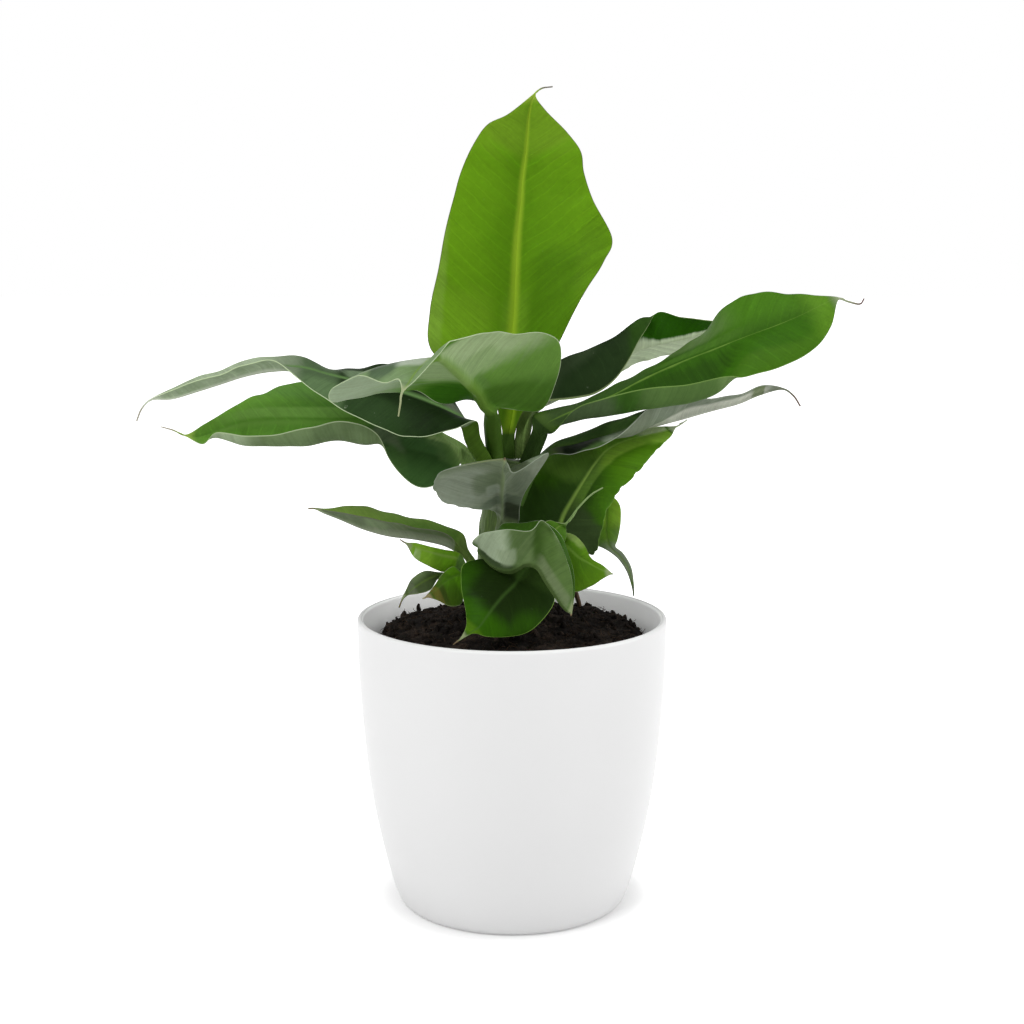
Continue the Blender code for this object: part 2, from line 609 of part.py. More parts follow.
def leaf_mesh(name, leaf, stations, grow=0.0):
    """A leaf as one closed loft: upper skin, lower skin with its rib, rims and both ends."""
    surface, normals, above, below = leaf_surface(leaf, stations)
    surface[:, 0] += grow * unit(surface[:, 0] - surface[:, 1])
    surface[:, -1] += grow * unit(surface[:, -1] - surface[:, -2])
    surface[0] -= grow * unit(surface[1, 3] - surface[0, 3])
    made = bmesh.new()
    upper, lower = (
        [[made.verts.new(point * MM) for point in row] for row in skin]
        for skin in (surface + normals * (above + grow)[..., None], surface - normals * (below + grow)[..., None])
    )
    columns = surface.shape[1]
    for i in range(stations - 1):
        for j in range(columns - 1):
            made.faces.new((upper[i][j], upper[i][j + 1], upper[i + 1][j + 1], upper[i + 1][j]))
            made.faces.new((lower[i][j], lower[i + 1][j], lower[i + 1][j + 1], lower[i][j + 1]))
        for j in (0, columns - 1):
            made.faces.new((upper[i][j], upper[i + 1][j], lower[i + 1][j], lower[i][j]))
    for i in (0, stations - 1):
        for j in range(columns - 1):
            made.faces.new((upper[i][j], upper[i][j + 1], lower[i][j + 1], lower[i][j]))
    bmesh.ops.recalc_face_normals(made, faces=made.faces)
    mesh = bpy.data.meshes.new(name)
    made.to_mesh(mesh)
    made.free()
    return mesh


def main():
    clear_scene()
    parts = make_collection("potted_dwarf_banana")
    cutters = make_collection("cutters", hidden=True)

    glaze = make_material("white planter", (0.86, 0.86, 0.87), 0.45)
    plastic = make_material("nursery pot plastic", (0.05, 0.05, 0.05), 0.5)
    peat = make_material("potting soil", (0.03, 0.02, 0.015), 0.95)
    add_turned("planter", planter_profile(), parts, glaze)
    nursery = add_turned("nursery_pot", nursery_profile(), parts, plastic)
    drill_drain_holes(nursery, cutters)
    soil = add_turned("potting_soil", soil_profile(), parts, peat)

    stems = {}
    for name, stem in STEMS.items():
        skin = make_material(name.replace("_", " "), stem.color, 0.5)
        stems[name] = add_piece(name, stem_mesh(name, stem), parts, skin)
        cut(soil, add_cutter(name + " socket", stem_mesh(name + " socket", stem, GAP), cutters))

    for name, leaf in LEAVES.items():
        rows = len(leaf.stalk) + len(leaf.blade) + len(leaf.tail)
        skin = make_material(name.replace("_", " "), leaf.color, 0.4)
        add_piece(name, leaf_mesh(name, leaf, round(STATIONS_PER_ROW * rows)), parts, skin)
        stub = leaf._replace(blade=leaf.blade[:1], tail=[])
        socket = leaf_mesh(name + " socket", stub, STUB_STATIONS * len(leaf.stalk), GAP)
        cut(stems[leaf.stem], add_cutter(name + " socket", socket, cutters))


main()
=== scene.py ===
"""Looks for a potted dwarf banana: its planter, soil, stems and leaves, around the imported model.

Lengths in this file are millimetres, as in the part's source, and MM turns them into metres.
The origin is the centre of the planter's foot, on the surface it stands on. -Y is the front.
"""
from collections import namedtuple
import math

import bpy
from bpy.props import FloatProperty, FloatVectorProperty, IntProperty, PointerProperty
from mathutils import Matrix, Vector
import numpy as np


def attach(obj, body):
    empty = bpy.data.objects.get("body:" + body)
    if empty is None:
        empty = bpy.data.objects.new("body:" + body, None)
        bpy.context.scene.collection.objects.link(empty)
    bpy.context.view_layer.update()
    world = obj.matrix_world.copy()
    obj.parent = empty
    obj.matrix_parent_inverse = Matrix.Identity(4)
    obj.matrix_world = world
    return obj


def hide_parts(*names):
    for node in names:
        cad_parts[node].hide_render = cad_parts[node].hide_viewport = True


bl_info = {
    "name": "Potted dwarf banana",
    "version": (1, 0, 0),
    "blender": (4, 5, 0),
    "location": "3D View > Sidebar > Banana",
    "description": "Builds the planter, soil, stems and leaves of a young dwarf banana",
    "category": "Object",
}

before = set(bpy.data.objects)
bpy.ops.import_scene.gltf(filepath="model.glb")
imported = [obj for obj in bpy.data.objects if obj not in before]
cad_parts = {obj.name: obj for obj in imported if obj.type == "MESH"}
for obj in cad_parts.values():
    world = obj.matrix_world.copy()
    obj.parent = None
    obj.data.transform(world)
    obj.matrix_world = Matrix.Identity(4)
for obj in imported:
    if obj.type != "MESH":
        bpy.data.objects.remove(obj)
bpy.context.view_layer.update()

MM = 0.001
BODY = "root"

# Planter: its outer side runs from the foot up, as radius and height
RIM_RADIUS = 90
PLANTER_HEIGHT = 170
PLANTER_WALL = 3.5
FLOOR = 4
FLOOR_RADIUS = 61
PLANTER_SIDE = [(64.3, 0), (65.6, 0.5), (66.6, 1.6), (69.4, 8), (73.4, 21), (76.9, 35.5), (83.2, 69),
                (87.2, 106), (89.5, 143)]
PLANTER_FOOT = [(0, 0), (40, 0), (63.5, 0)]
PLANTER_FLOOR = [(FLOOR_RADIUS + 2.5, FLOOR + 1), (FLOOR_RADIUS, FLOOR), (30, FLOOR), (0, FLOOR)]
PLASTIC_CLOUD = 0.985    # how dark the plastic is in its faint clouds
# Its wall above the soil is painted lighter and glows faintly, painted light for the light that the wall
# throws on itself there: the heights and the radii over which that comes and goes, and the painted glow
PAINTED_LIGHT_HEIGHTS = (145, 160)
PAINTED_LIGHT_RADII = (86.8, 87.5)
PAINTED_GLOW = 0.16

# Soil: height of its shoulder, and its profile as radius and height, the part in the nursery pot and the
# heap above it; then the size of its lumps, crumbs and fibres
SOIL_TOP = 163.5
SOIL_FOOT = [(0, 8), (50.8, 8), (72.8, 150)]
SOIL_HEAP = [(76, 155.5), (75, 159.5), (71, 162.5), (62, 163.5), (45, 165.5), (25, 167.9), (0, 168.5)]
SOIL_LUMP = 9
RELIEF_FROM = SOIL_TOP - 12        # height from which it is lumpy
RELIEF_FADE = 5          # height over which the lumps set in
LITTER_FROM = SOIL_TOP - 7         # height from which crumbs and fibres lie on it
PEAT_LUMPS, FIBRE_LUMPS = 190, 300         # lumps a metre in the finish of peat and of its fibres
CRUMB_SIZE = 3.4
CRUMB_SHARES = (0.25, 1.0)         # smallest and largest crumb, before its share is squared
CRUMB_SQUASH = ((0.6, 0.5, 0.35), (1.4, 1.0, 0.8))
CRUMB_SEED = 3
FIBRE_DARK = 0.3         # how dark a fibre is in its dark places
FIBRE_SHARES = (0.2, 1.0)
FIBRE_LENGTH = 9
FIBRE_RADIUS = 0.16
FIBRE_TILT = 0.7         # how steep a fibre may stand, in radians
FIBRE_POINTS = 7
FIBRE_SEED = 5
TURN = 6.28              # once round, in radians

# Stems: centre line from the root up, and its radii
Stem = namedtuple("Stem", "path radii")
STEMS = {
    # The main stem carries its corm, the rooted foot in the soil
    "pseudostem": Stem([(-11, 1, 113), (-11, 1, 125), (-11, 1, 142), (-11, 1, 157), (-10, 1, 182),
                        (-8, 0, 222), (-5, 0, 247), (-3, 0, 261)],
                       [9, 16, 15, 12, 11.2, 10.5, 10.4, 11]),
    "left_shoot": Stem([(-19, -17, 137), (-19, -18, 162), (-20, -18, 182), (-21, -17, 193)],
                       [3.5, 4.6, 4.8, 4.2]),
    "front_shoot": Stem([(2, -18, 137), (3, -19, 162), (4, -20, 182), (5, -21, 195)],
                        [5, 6.2, 6, 5]),
    "right_shoot": Stem([(14, 8, 137), (15, 8, 162), (16, 8, 182), (17, 8, 197)],
                        [4.5, 5.5, 5.2, 4.6]),
    # A withered leaf stalk, standing at the back
    "dry_stalk": Stem([(42, 54, 151), (41.5, 52, 162.5), (39, 42, 173), (35, 28, 183)],
                      [1.2, 1.3, 1.5, 1.6]),
}

WITHERED = ((0.1, 0.06, 0.03), (0.2, 0.13, 0.08), (0.04, 0.022, 0.012))     # colours of the withered stalk

# Leaves: thickness of the blade
BLADE = 0.6
DOME = 0.06              # how far a half-blade bulges upwards, as a share of its width
CHANNEL = 0.55           # height of a stalk's lips above its middle, as a share of its half width
CHANNEL_ROUND = 0.3      # how round the channel is
TAIL_HALF = 0.55         # half width of a drip tip
TAIL_CHANNEL = 0.1
RIB_START = 0.8          # rib below the blade's base, as a share of the stalk's half width
RIB_END = 0.5            # and at the blade's tip

# A leaf, seen on its upper side with the tip away: half the width of its stalk, the stem it grows from,
# the stalk's path, the blade's cross-rows from base to tip, and the path of its drip tip. A row is the
# rib, the left edge and the right edge, and where a half is rolled or folded also the point in its
# middle, left and right.
Leaf = namedtuple("Leaf", "half stem stalk blade tail")
LEAVES = {
    "upright_leaf": Leaf(
        half=4.0, stem="pseudostem", stalk=[(-3, 4, 261.5), (-3, 4, 266)],
        blade=[((-2, 6, 275), (-5.5, 3, 276), (1.5, 3, 276)), ((0, 8, 285), (-7.5, 2, 286), (5.2, -1, 287)),
               ((0.5, 9, 292), (-9.5, 2, 293), (9.5, -2, 294)), ((-2, 10, 303), (-27, 2, 309), (19, 0, 310)),
               ((-1, 13, 322), (-46, 2, 324), (26, -2, 327)), ((1, 17, 343), (-47, 6, 346), (39, 0, 353)),
               ((2, 20, 366), (-42, 9, 370), (52, 4, 374)), ((3, 23, 386), (-38, 13, 392), (57, 9, 387)),
               ((5, 25, 407), (-33, 16, 411), (46, 13, 409)), ((6, 26, 421), (-29, 18, 425), (41, 15, 424)),
               ((8, 26, 436), (-22, 19, 440), (39, 15, 436)), ((9, 25, 448), (-14, 20, 451), (31, 18, 447)),
               ((10, 23, 458), (-2, 20, 457), (19, 19, 459))],
        tail=[(13, 20, 468), (17, 19, 471), (23, 19, 472)]),
    "front_leaf": Leaf(
        half=4.4, stem="pseudostem", stalk=[(-9, -5.5, 261.5), (-10, -6, 270), (-11, -12, 281)],
        blade=[((-12, -20, 292), (-8, -19, 293), (-16, -21, 295)),
               ((-16, -27, 297), (15, -12, 291), (-26, -28, 299)),
               ((-19, -38, 304), (25, -20, 309), (-39, -42, 298)),
               ((-24, -54, 311), (25, -45, 333), (-53, -58, 307)),
               ((-31, -74, 320), (-1, -72, 339), (-76, -80, 306)),
               ((-37, -94, 327), (-17, -90, 339), (-93, -106, 306)),
               ((-40, -103, 328), (-29, -98, 337), (-91, -115, 314)),
               ((-43, -112, 326), (-33, -106, 335), (-78, -126, 320)),
               ((-48, -126, 322), (-41, -122, 326), (-63, -134, 318)),
               ((-51, -135, 318), (-48, -134, 319), (-56, -138, 320))],
        tail=[(-54, -140, 314), (-55, -141, 308), (-56, -141, 302)]),
    "left_long_leaf": Leaf(
        half=4.8, stem="pseudostem", stalk=[(-11, -7, 253), (-16, -9, 263), (-22, -12, 275)],
        blade=[((-25, -14, 284), (-20, -22, 286), (-29, -4, 286)),
               ((-34, -12, 290), (-32, -34, 283), (-37, 6, 300)),
               ((-49, -10, 297), (-51, -36, 279), (-53, 10, 310)),
               ((-68, -8, 303), (-66, -36, 281), (-69, 12, 315)),
               ((-86, -8, 307), (-84, -34, 289), (-89, 12, 313)),
               ((-103, -8, 311), (-102, -28, 298), (-105, 8, 313)),
               ((-119, -8, 315), (-119, -20, 309), (-119, 2, 320)),
               ((-136, -10, 315), (-134, -18, 320), (-136, -2, 321)),
               ((-151, -12, 312), (-150, -20, 317), (-151, -5, 319)),
               ((-166, -14, 307), (-164, -21, 312), (-166, -8, 313)),
               ((-178, -16, 303), (-176, -22, 309), (-178, -10, 310)),
               ((-191, -18, 299), (-189, -22, 304), (-189, -14, 305))],
        tail=[(-203, -20, 298), (-208, -20, 293), (-211, -20, 286)]),
    "left_broad_leaf": Leaf(
        half=5.0, stem="pseudostem", stalk=[(-13, 4, 240), (-20, 3, 254), (-30, 2, 267)],
        blade=[((-39, 4, 273), (-29, -8, 261), (-42, 10, 277)),
               ((-50, 8, 277), (-42, -18, 250), (-57, 28, 290)),
               ((-62, 11, 279), (-55, -20, 249), (-72, 36, 297)),
               ((-74, 12, 281), (-70, -19, 265), (-85, 40, 301)),
               ((-87, 12, 282), (-76, -18, 279), (-99, 40, 304), (-84, -7, 271.5)),
               ((-104, 12, 282), (-94, -14, 285), (-115, 38, 304), (-100, -4, 273)),
               ((-123, 12, 282), (-114, -14, 282), (-130, 34, 302), (-119, -4, 270)),
               ((-140, 12, 282), (-136, -10, 277), (-144, 28, 298), (-138, -2, 270)),
               ((-155, 10, 281), (-153, -6, 276), (-155, 22, 294), (-154, 0, 270)),
               ((-170, 8, 277), (-170, 0, 277), (-169, 15, 286), (-170, 2, 274)),
               ((-180, 6, 274), (-178, 2, 270), (-178, 8, 281))],
        tail=[(-188, 4, 275), (-195, 4, 278), (-202, 4, 280)]),
    "back_right_leaf": Leaf(
        half=4.2, stem="pseudostem", stalk=[(5.5, 2, 261.5), (5.5, 3, 269), (7, 6, 279)],
        blade=[((11, 12, 289), (6, 20, 293), (15, 6, 293)),
               ((28, 24, 298), (32, 40, 293), (25, 4, 295), None, (25, 14, 315)),
               ((46, 34, 308), (53, 52, 300), (47, 10, 298), None, (43, 24, 322)),
               ((61, 44, 315), (71, 60, 310), (62, 20, 308), None, (60, 34, 329)),
               ((75, 52, 322), (85, 66, 314), (76, 34, 329), None, (76, 42, 340)),
               ((89, 60, 325), (100, 74, 317), (86, 48, 343), None, (86, 50, 336)),
               ((103, 68, 327), (113, 80, 323), (101, 60, 340)),
               ((118, 76, 330), (125, 86, 325), (121, 70, 337))],
        tail=[(137, 84, 334), (144, 88, 333)]),
    "right_long_leaf": Leaf(
        half=4.4, stem="pseudostem", stalk=[(4, -4, 249), (11, -5, 265), (16, -4, 277)],
        blade=[((18, -3, 281), (12, 5, 286), (23, -11, 278)),
               ((36, -6, 291), (35, 10, 292), (35, -24, 293), None, (37, -18, 286)),
               ((56, -8, 299), (56, 14, 301), (55, -30, 301), None, (57, -24, 290)),
               ((75, -8, 309), (75, 18, 310), (76, -34, 306), None, (77, -28, 294)),
               ((95, -8, 318), (93, 22, 320), (96, -36, 308), None, (98, -30, 298)),
               ((113, -8, 325), (109, 24, 331), (115, -36, 312), None, (116, -28, 305)),
               ((131, -8, 332), (125, 22, 349), (133, -32, 313)),
               ((150, -8, 339), (142, 18, 356), (154, -28, 319)),
               ((164, -8, 345), (159, 12, 356), (170, -22, 328)),
               ((174, -8, 350), (172, 4, 355), (179, -14, 339))],
        tail=[(184, -8, 354), (190, -8, 352), (196, -8, 351), (198, -8, 354)]),
    "right_slender_leaf": Leaf(
        half=3.4, stem="pseudostem", stalk=[(3, 5, 235), (11, 6, 253)],
        blade=[((21, 5, 266), (23, 9, 269), (22, 0, 264)), ((36, 4, 270), (39, 12, 275), (35, -9, 266)),
               ((54, 3, 275), (58, 13, 282), (52, -16, 272)),
               ((69, 2, 280), (74, 14, 287), (68, -20, 285), None, (69, -11, 277)),
               ((84, 1, 283), (86, 13, 292), (81, -18, 296), None, (83, -10, 286)),
               ((100, 1, 287), (103, 12, 292), (98, -12, 298)),
               ((114, -1, 291), (118, 8, 294), (114, -11, 298)),
               ((129, -3, 295), (131, 4, 297), (129, -10, 300)),
               ((141, -5, 300), (143, -1, 303), (142, -9, 305))],
        tail=[(154, -7, 303), (160, -7, 299), (164, -7, 293)]),
    "right_broad_leaf": Leaf(
        half=3.0, stem="right_shoot", stalk=[(18, 7, 191), (23, 5, 209)],
        blade=[((27, 0, 218), (8, 9, 213), (33, -5, 213)), ((30, 3, 228), (1, 18, 226), (46, -14, 208)),
               ((35, 4, 237), (6, 20, 243), (51, -17, 219)), ((41, 4, 247), (14, 23, 256), (53, -18, 232)),
               ((48, 4, 258), (23, 26, 265), (59, -16, 243)), ((56, 4, 267), (41, 25, 271), (68, -14, 252)),
               ((66, 3, 272), (57, 22, 276), (77, -12, 262)), ((77, 1, 275), (72, 14, 278), (85, -10, 271)),
               ((88, -2, 278), (86, 4, 280), (91, -6, 276))],
        tail=[(94, -3, 281), (100, -4, 285)]),
    "front_small_leaf": Leaf(
        half=2.8, stem="pseudostem", stalk=[(-8, -9, 202), (-7, -16, 218)],
        blade=[((-6.5, -23, 231), (3.5, -21, 228), (-8.5, -25, 233)),
               ((-6, -29, 241), (4.5, -28, 238), (-12, -31, 237)),
               ((-6, -36, 249), (7, -34, 247), (-23, -38, 239)),
               ((-5.5, -45, 257), (20, -50, 272), (-39, -48, 245)),
               ((-5, -54, 263), (1.5, -57, 262), (-43, -58, 256)),
               ((-4.3, -63, 268), (-2, -62, 267), (-37, -64, 264))],
        tail=[(-4, -67, 271), (-4, -71, 271)]),
    "right_hanging_leaf": Leaf(
        half=2.0, stem="right_shoot", stalk=[(18, 11, 189), (36, 22, 219), (50, 23, 236)],
        blade=[((54, 17, 239), (59, 14, 237), (48, 14, 236)), ((55, 10, 232), (63, 8, 233), (43, 10, 227)),
               ((55, 4, 224), (63, 2, 224), (43, 6, 219)), ((55, -2, 217), (61, -4, 215.5), (46, 0, 213)),
               ((57, -5, 211.2), (59.7, -7, 211.8), (54.5, -5, 209.5)),
               ((62.5, -7, 206.3), (63.9, -8, 208.3), (61.2, -6, 204.7)),
               ((67.1, -8, 199.5), (68.5, -9, 200.6), (65.8, -7, 198.1)),
               ((69.3, -8, 191.8), (70, -9, 192.3), (68.5, -7, 191.3))],
        tail=[(70, -8, 186.5), (70.2, -8, 183)]),
    "arched_leaf": Leaf(
        half=2.4, stem="front_shoot", stalk=[(1, -21, 187), (-7, -30, 205), (-13, -38, 216)],
        blade=[((-17, -47, 218), (-12, -41, 220), (-22, -51, 222)),
               ((-10, -55, 211), (-7, -38, 228), (-15, -62, 230)),
               ((-1, -62, 209), (0, -41, 232), (-4, -68, 232)),
               ((7, -64, 213), (10, -44, 233), (9, -68, 232)),
               ((14, -68, 212), (18, -54, 234), (16, -64, 237)),
               ((19, -71, 204), (26, -58, 228), (24, -64, 228)),
               ((25, -73, 195), (32, -62, 215), (30, -68, 215)),
               ((29, -75, 190), (34, -70, 201), (33, -72, 201))],
        tail=[(32, -76, 188), (32, -77, 187)]),
    "bright_right_leaf": Leaf(
        half=2.2, stem="front_shoot", stalk=[(7, -17, 179), (18, -26, 205)],
        blade=[((26, -36, 220), (27, -34, 224), (27, -40, 217)),
               ((31, -42, 218), (34, -36, 224), (29, -48, 205)),
               ((37, -46, 213), (40, -40, 219), (34, -52, 195)),
               ((43, -49, 210), (44, -44, 212), (44, -52, 198)),
               ((49, -51, 207), (50, -48, 209), (50, -52, 202))],
        tail=[(55, -52, 205), (56, -52, 205)]),
    "tendril_leaf": Leaf(
        half=1.8, stem="front_shoot", stalk=[(6, -21, 191), (12, -34, 207)],
        blade=[((16, -44, 217), (13, -45, 219), (20, -42, 216)),
               ((20, -46, 225), (15, -47, 230), (28, -42, 219)),
               ((24, -46, 229), (20, -47, 234), (30, -42, 224)),
               ((27, -45, 231), (24, -46, 233), (30, -42, 228))],
        tail=[(30, -46, 232), (38, -44, 242), (44, -44, 248), (50, -46, 252)]),
    "round_leaf": Leaf(
        half=2.6, stem="front_shoot", stalk=[(5, -24, 177), (8, -36, 199)],
        blade=[((10, -44, 207), (14, -46, 206), (6, -44, 211)),
               ((6, -49, 204), (22, -50, 197), (-6, -43, 211)),
               ((1, -55, 199), (23, -54, 189), (-17, -44, 212)),
               ((-5, -60, 194), (16, -60, 180), (-27, -47, 209)),
               ((-10, -65, 189), (7, -64, 174), (-28, -55, 201)),
               ((-14, -68, 184), (-4, -68, 173), (-26, -60, 191)),
               ((-18, -70, 179), (-14, -71, 174), (-25, -65, 184)),
               ((-23, -72, 176), (-21, -72, 176), (-25, -70, 179))],
        tail=[(-28, -73, 173), (-32, -73, 170)]),
    "slender_left_leaf": Leaf(
        half=2.6, stem="left_shoot", stalk=[(-21, -15, 190), (-22.5, -14, 203), (-26.5, -14, 209.5)],
        blade=[((-32, -15, 213), (-32.4, -20, 217.5), (-28.2, -8, 219.5)),
               ((-38.5, -16, 216.3), (-38.5, -23, 222.5), (-38.5, -5, 223.5)),
               ((-55, -18, 220), (-56, -27, 227), (-57, -2, 228)),
               ((-70, -20, 222), (-70, -29, 230), (-72, -2, 231)),
               ((-84, -22, 226), (-84, -29, 233), (-85, -5, 235)),
               ((-96, -23, 231), (-96, -27, 235), (-96, -12, 236)),
               ((-106, -24, 235), (-105, -25, 236), (-106, -20, 236))],
        tail=[(-111, -24, 237), (-115, -24, 237)]),
    "small_left_leaf": Leaf(
        half=1.9, stem="left_shoot", stalk=[(-22, -18, 186), (-27, -22, 201)],
        blade=[((-31, -24, 207.5), (-32.5, -23, 201.5), (-29.5, -20, 210)),
               ((-38.5, -28, 210.5), (-39, -27, 201), (-38.5, -25, 213.5)),
               ((-46, -33, 213.5), (-47, -35, 206), (-46, -30, 216)),
               ((-54, -35, 216.5), (-55, -37, 211.5), (-54, -34, 219))],
        tail=[(-59.3, -36, 219.3), (-62.5, -37, 221.5)]),
    "browned_leaf": Leaf(
        half=1.9, stem="left_shoot", stalk=[(-20, -20, 181), (-24, -28, 195)],
        blade=[((-28, -31, 200), (-27.5, -34, 195), (-32.5, -32, 205)),
               ((-34.5, -35, 199), (-28, -41, 186), (-39.5, -35, 201)),
               ((-39.5, -38.5, 195.5), (-34.5, -45, 185), (-43, -37, 196)),
               ((-44, -41, 192.2), (-41.5, -44, 188.2), (-46, -39, 192))],
        tail=[(-48, -43, 190), (-50, -43, 189)]),
    "drooping_leaf": Leaf(
        half=1.6, stem="left_shoot", stalk=[(-22, -15, 180), (-34, -14, 195)],
        blade=[((-41, -20, 198), (-42, -22, 196), (-43, -18, 199)),
               ((-48, -24, 196), (-46, -28, 191), (-50, -20, 200)),
               ((-55, -27, 192), (-53, -30, 189), (-57, -23, 196)),
               ((-59, -29, 189), (-59, -30, 188), (-60, -28, 191))],
        tail=[(-62, -30, 186), (-64, -30, 181)]),
}

# Fineness of the finished meshes
PLANTER_STEPS = 192
PLANTER_ROWS = 90
RIM_STEPS = 17
SOIL_STEPS = 300
SOIL_ROWS = 110
STEM_SIDES = 72
STEM_STEP = 1.2
STEM_POINTS = 60         # points of a stem's centre line
SHEATH_RADIUS = 11       # radius of the stem on which a sheath's edge stands out in full
MERGE = 0.01             # points closer than this become one
STATION_STEP = 1.3       # length of leaf for each cross-section
STATION_RANGE = (60, 170)
HALF_COLUMNS = 17        # columns across half a blade, closer together near its rib
SHARE_POWER = 1.5
RIM_SHARES = (0.98, 0.985, 1)      # a blade thins towards its margin: shares of its half width
RIM_THICKNESS = (1, 0.9, 0.4)      # and of its thickness
SHARP = 50               # degrees between faces from which an edge is sharp
GROOVE = 0.1             # depth of the channel over the rib, as a share of the rib
GROOVE_WIDTH = 0.8       # half width of that channel, as a share of the rib
KEEL_WIDTH = 1.5         # and of the keel under it
TAIL_TAPER = (1.2, 0.45)
WAVE_RAMP = 2.5          # how soon the margin's waves set in from the blade's two ends
RIPPLE_WAVES = (17, 26, 41)        # lengths of the margin's waves
RIPPLE_WIDTH = 20        # half width from which a blade waves in full
RIPPLE_POWER = 2.2       # how closely the waves keep to the margin
NICK_WAVES = (5.3, 7.9, 13)        # the same for its nicks, and how often they come
NICK_POWER = 4
NICK_LEVEL = 0.1
VEIN_SLANT = 0.65        # how far a vein runs forward for each millimetre outwards
VEIN_BEND = 0.002
VEIN_SPACING = 7.5

# Noises of a leaf's finish, as scale, detail and roughness: the fine threads and the broad bands along
# its veins, in cells a millimetre, and its clouds, its mottle, its flecks and the wandering of its veins,
# in cells a metre
THREADS = (1.1, 3, 0.65)
BANDS = (0.16, 4, 0.62)
CLOUDS = (38, 4, 0.55)
MOTTLE = (420, 3, 0.6)
FLECKS = (260, 3, 0.7)
WANDER = (70, 2)
# A leaf's colour: how much its noises make it lighter or darker, how ragged they make a zone's edge and
# how square a zone is; what shines through a blade, and how much rougher its underside is
TONE = 0.26
TONE_THREADS, TONE_BANDS, TONE_MOTTLE = 0.6, 0.6, 0.28
RAG_CLOUD, RAG_BANDS, RAG_THREADS = 1.2, 2.2, 0.8
ZONE_POWER = 4
LEAF_GLOW = (0.16, 0.4, 0.02)
UNDER_ROUGHNESS = 0.12

# The colours of one leaf: upper side near the base, towards the tip and in its darker streaks;
# underside, its wax bloom with painted sheen and its darker streaks; the midrib above and below; the
# stalk; the margin; the drip tip and its end. Then how much light comes through, the amount of wax bloom
# and painted sheen, the shine and the roughness, the rib's width in rib depths and its strength, the
# margin's width in millimetres and its strength, the flecks, the waves and the nicks of the margin, left
# and right, and the zones of another tone and of painted light and shade, upper side and underside.
Look = namedtuple(
    "Look", "seed top far deep under bloom under_deep rib keel stalk edge tail tail_end through wax shine"
            " rough rib_width rib_strength edge_width edge_strength flecks ripple nick top_zones low_zones")
# A zone of one side of a blade, most of them painted shade, shadow, highlight and sheen, some the leaf's
# own tone: its middle as reach and millimetres aside of the rib, left below 0, half its length in reach,
# half its width in millimetres, its colour, its strength and how soft its edge is
Zone = namedtuple("Zone", "reach aside length width color strength soft", defaults=(0.85, 0.3))
PLAIN = Look(
    seed=1, top=(0.06, 0.17, 0.015), far=(0.08, 0.2, 0.02), deep=(0.02, 0.07, 0.008),
    under=(0.12, 0.18, 0.09), bloom=(0.24, 0.31, 0.2), under_deep=(0.06, 0.11, 0.04),
    rib=(0.22, 0.36, 0.06), keel=(0.2, 0.3, 0.1), stalk=(0.1, 0.2, 0.04), edge=(0.3, 0.38, 0.17),
    tail=(0.25, 0.3, 0.15), tail_end=(0.2, 0.14, 0.08), through=0.2, wax=0.6, shine=0.06, rough=0.42,
    rib_width=0.7, rib_strength=0.7, edge_width=0.4, edge_strength=0.8, flecks=0.15, ripple=1.0,
    nick=(0, 0), top_zones=(), low_zones=())
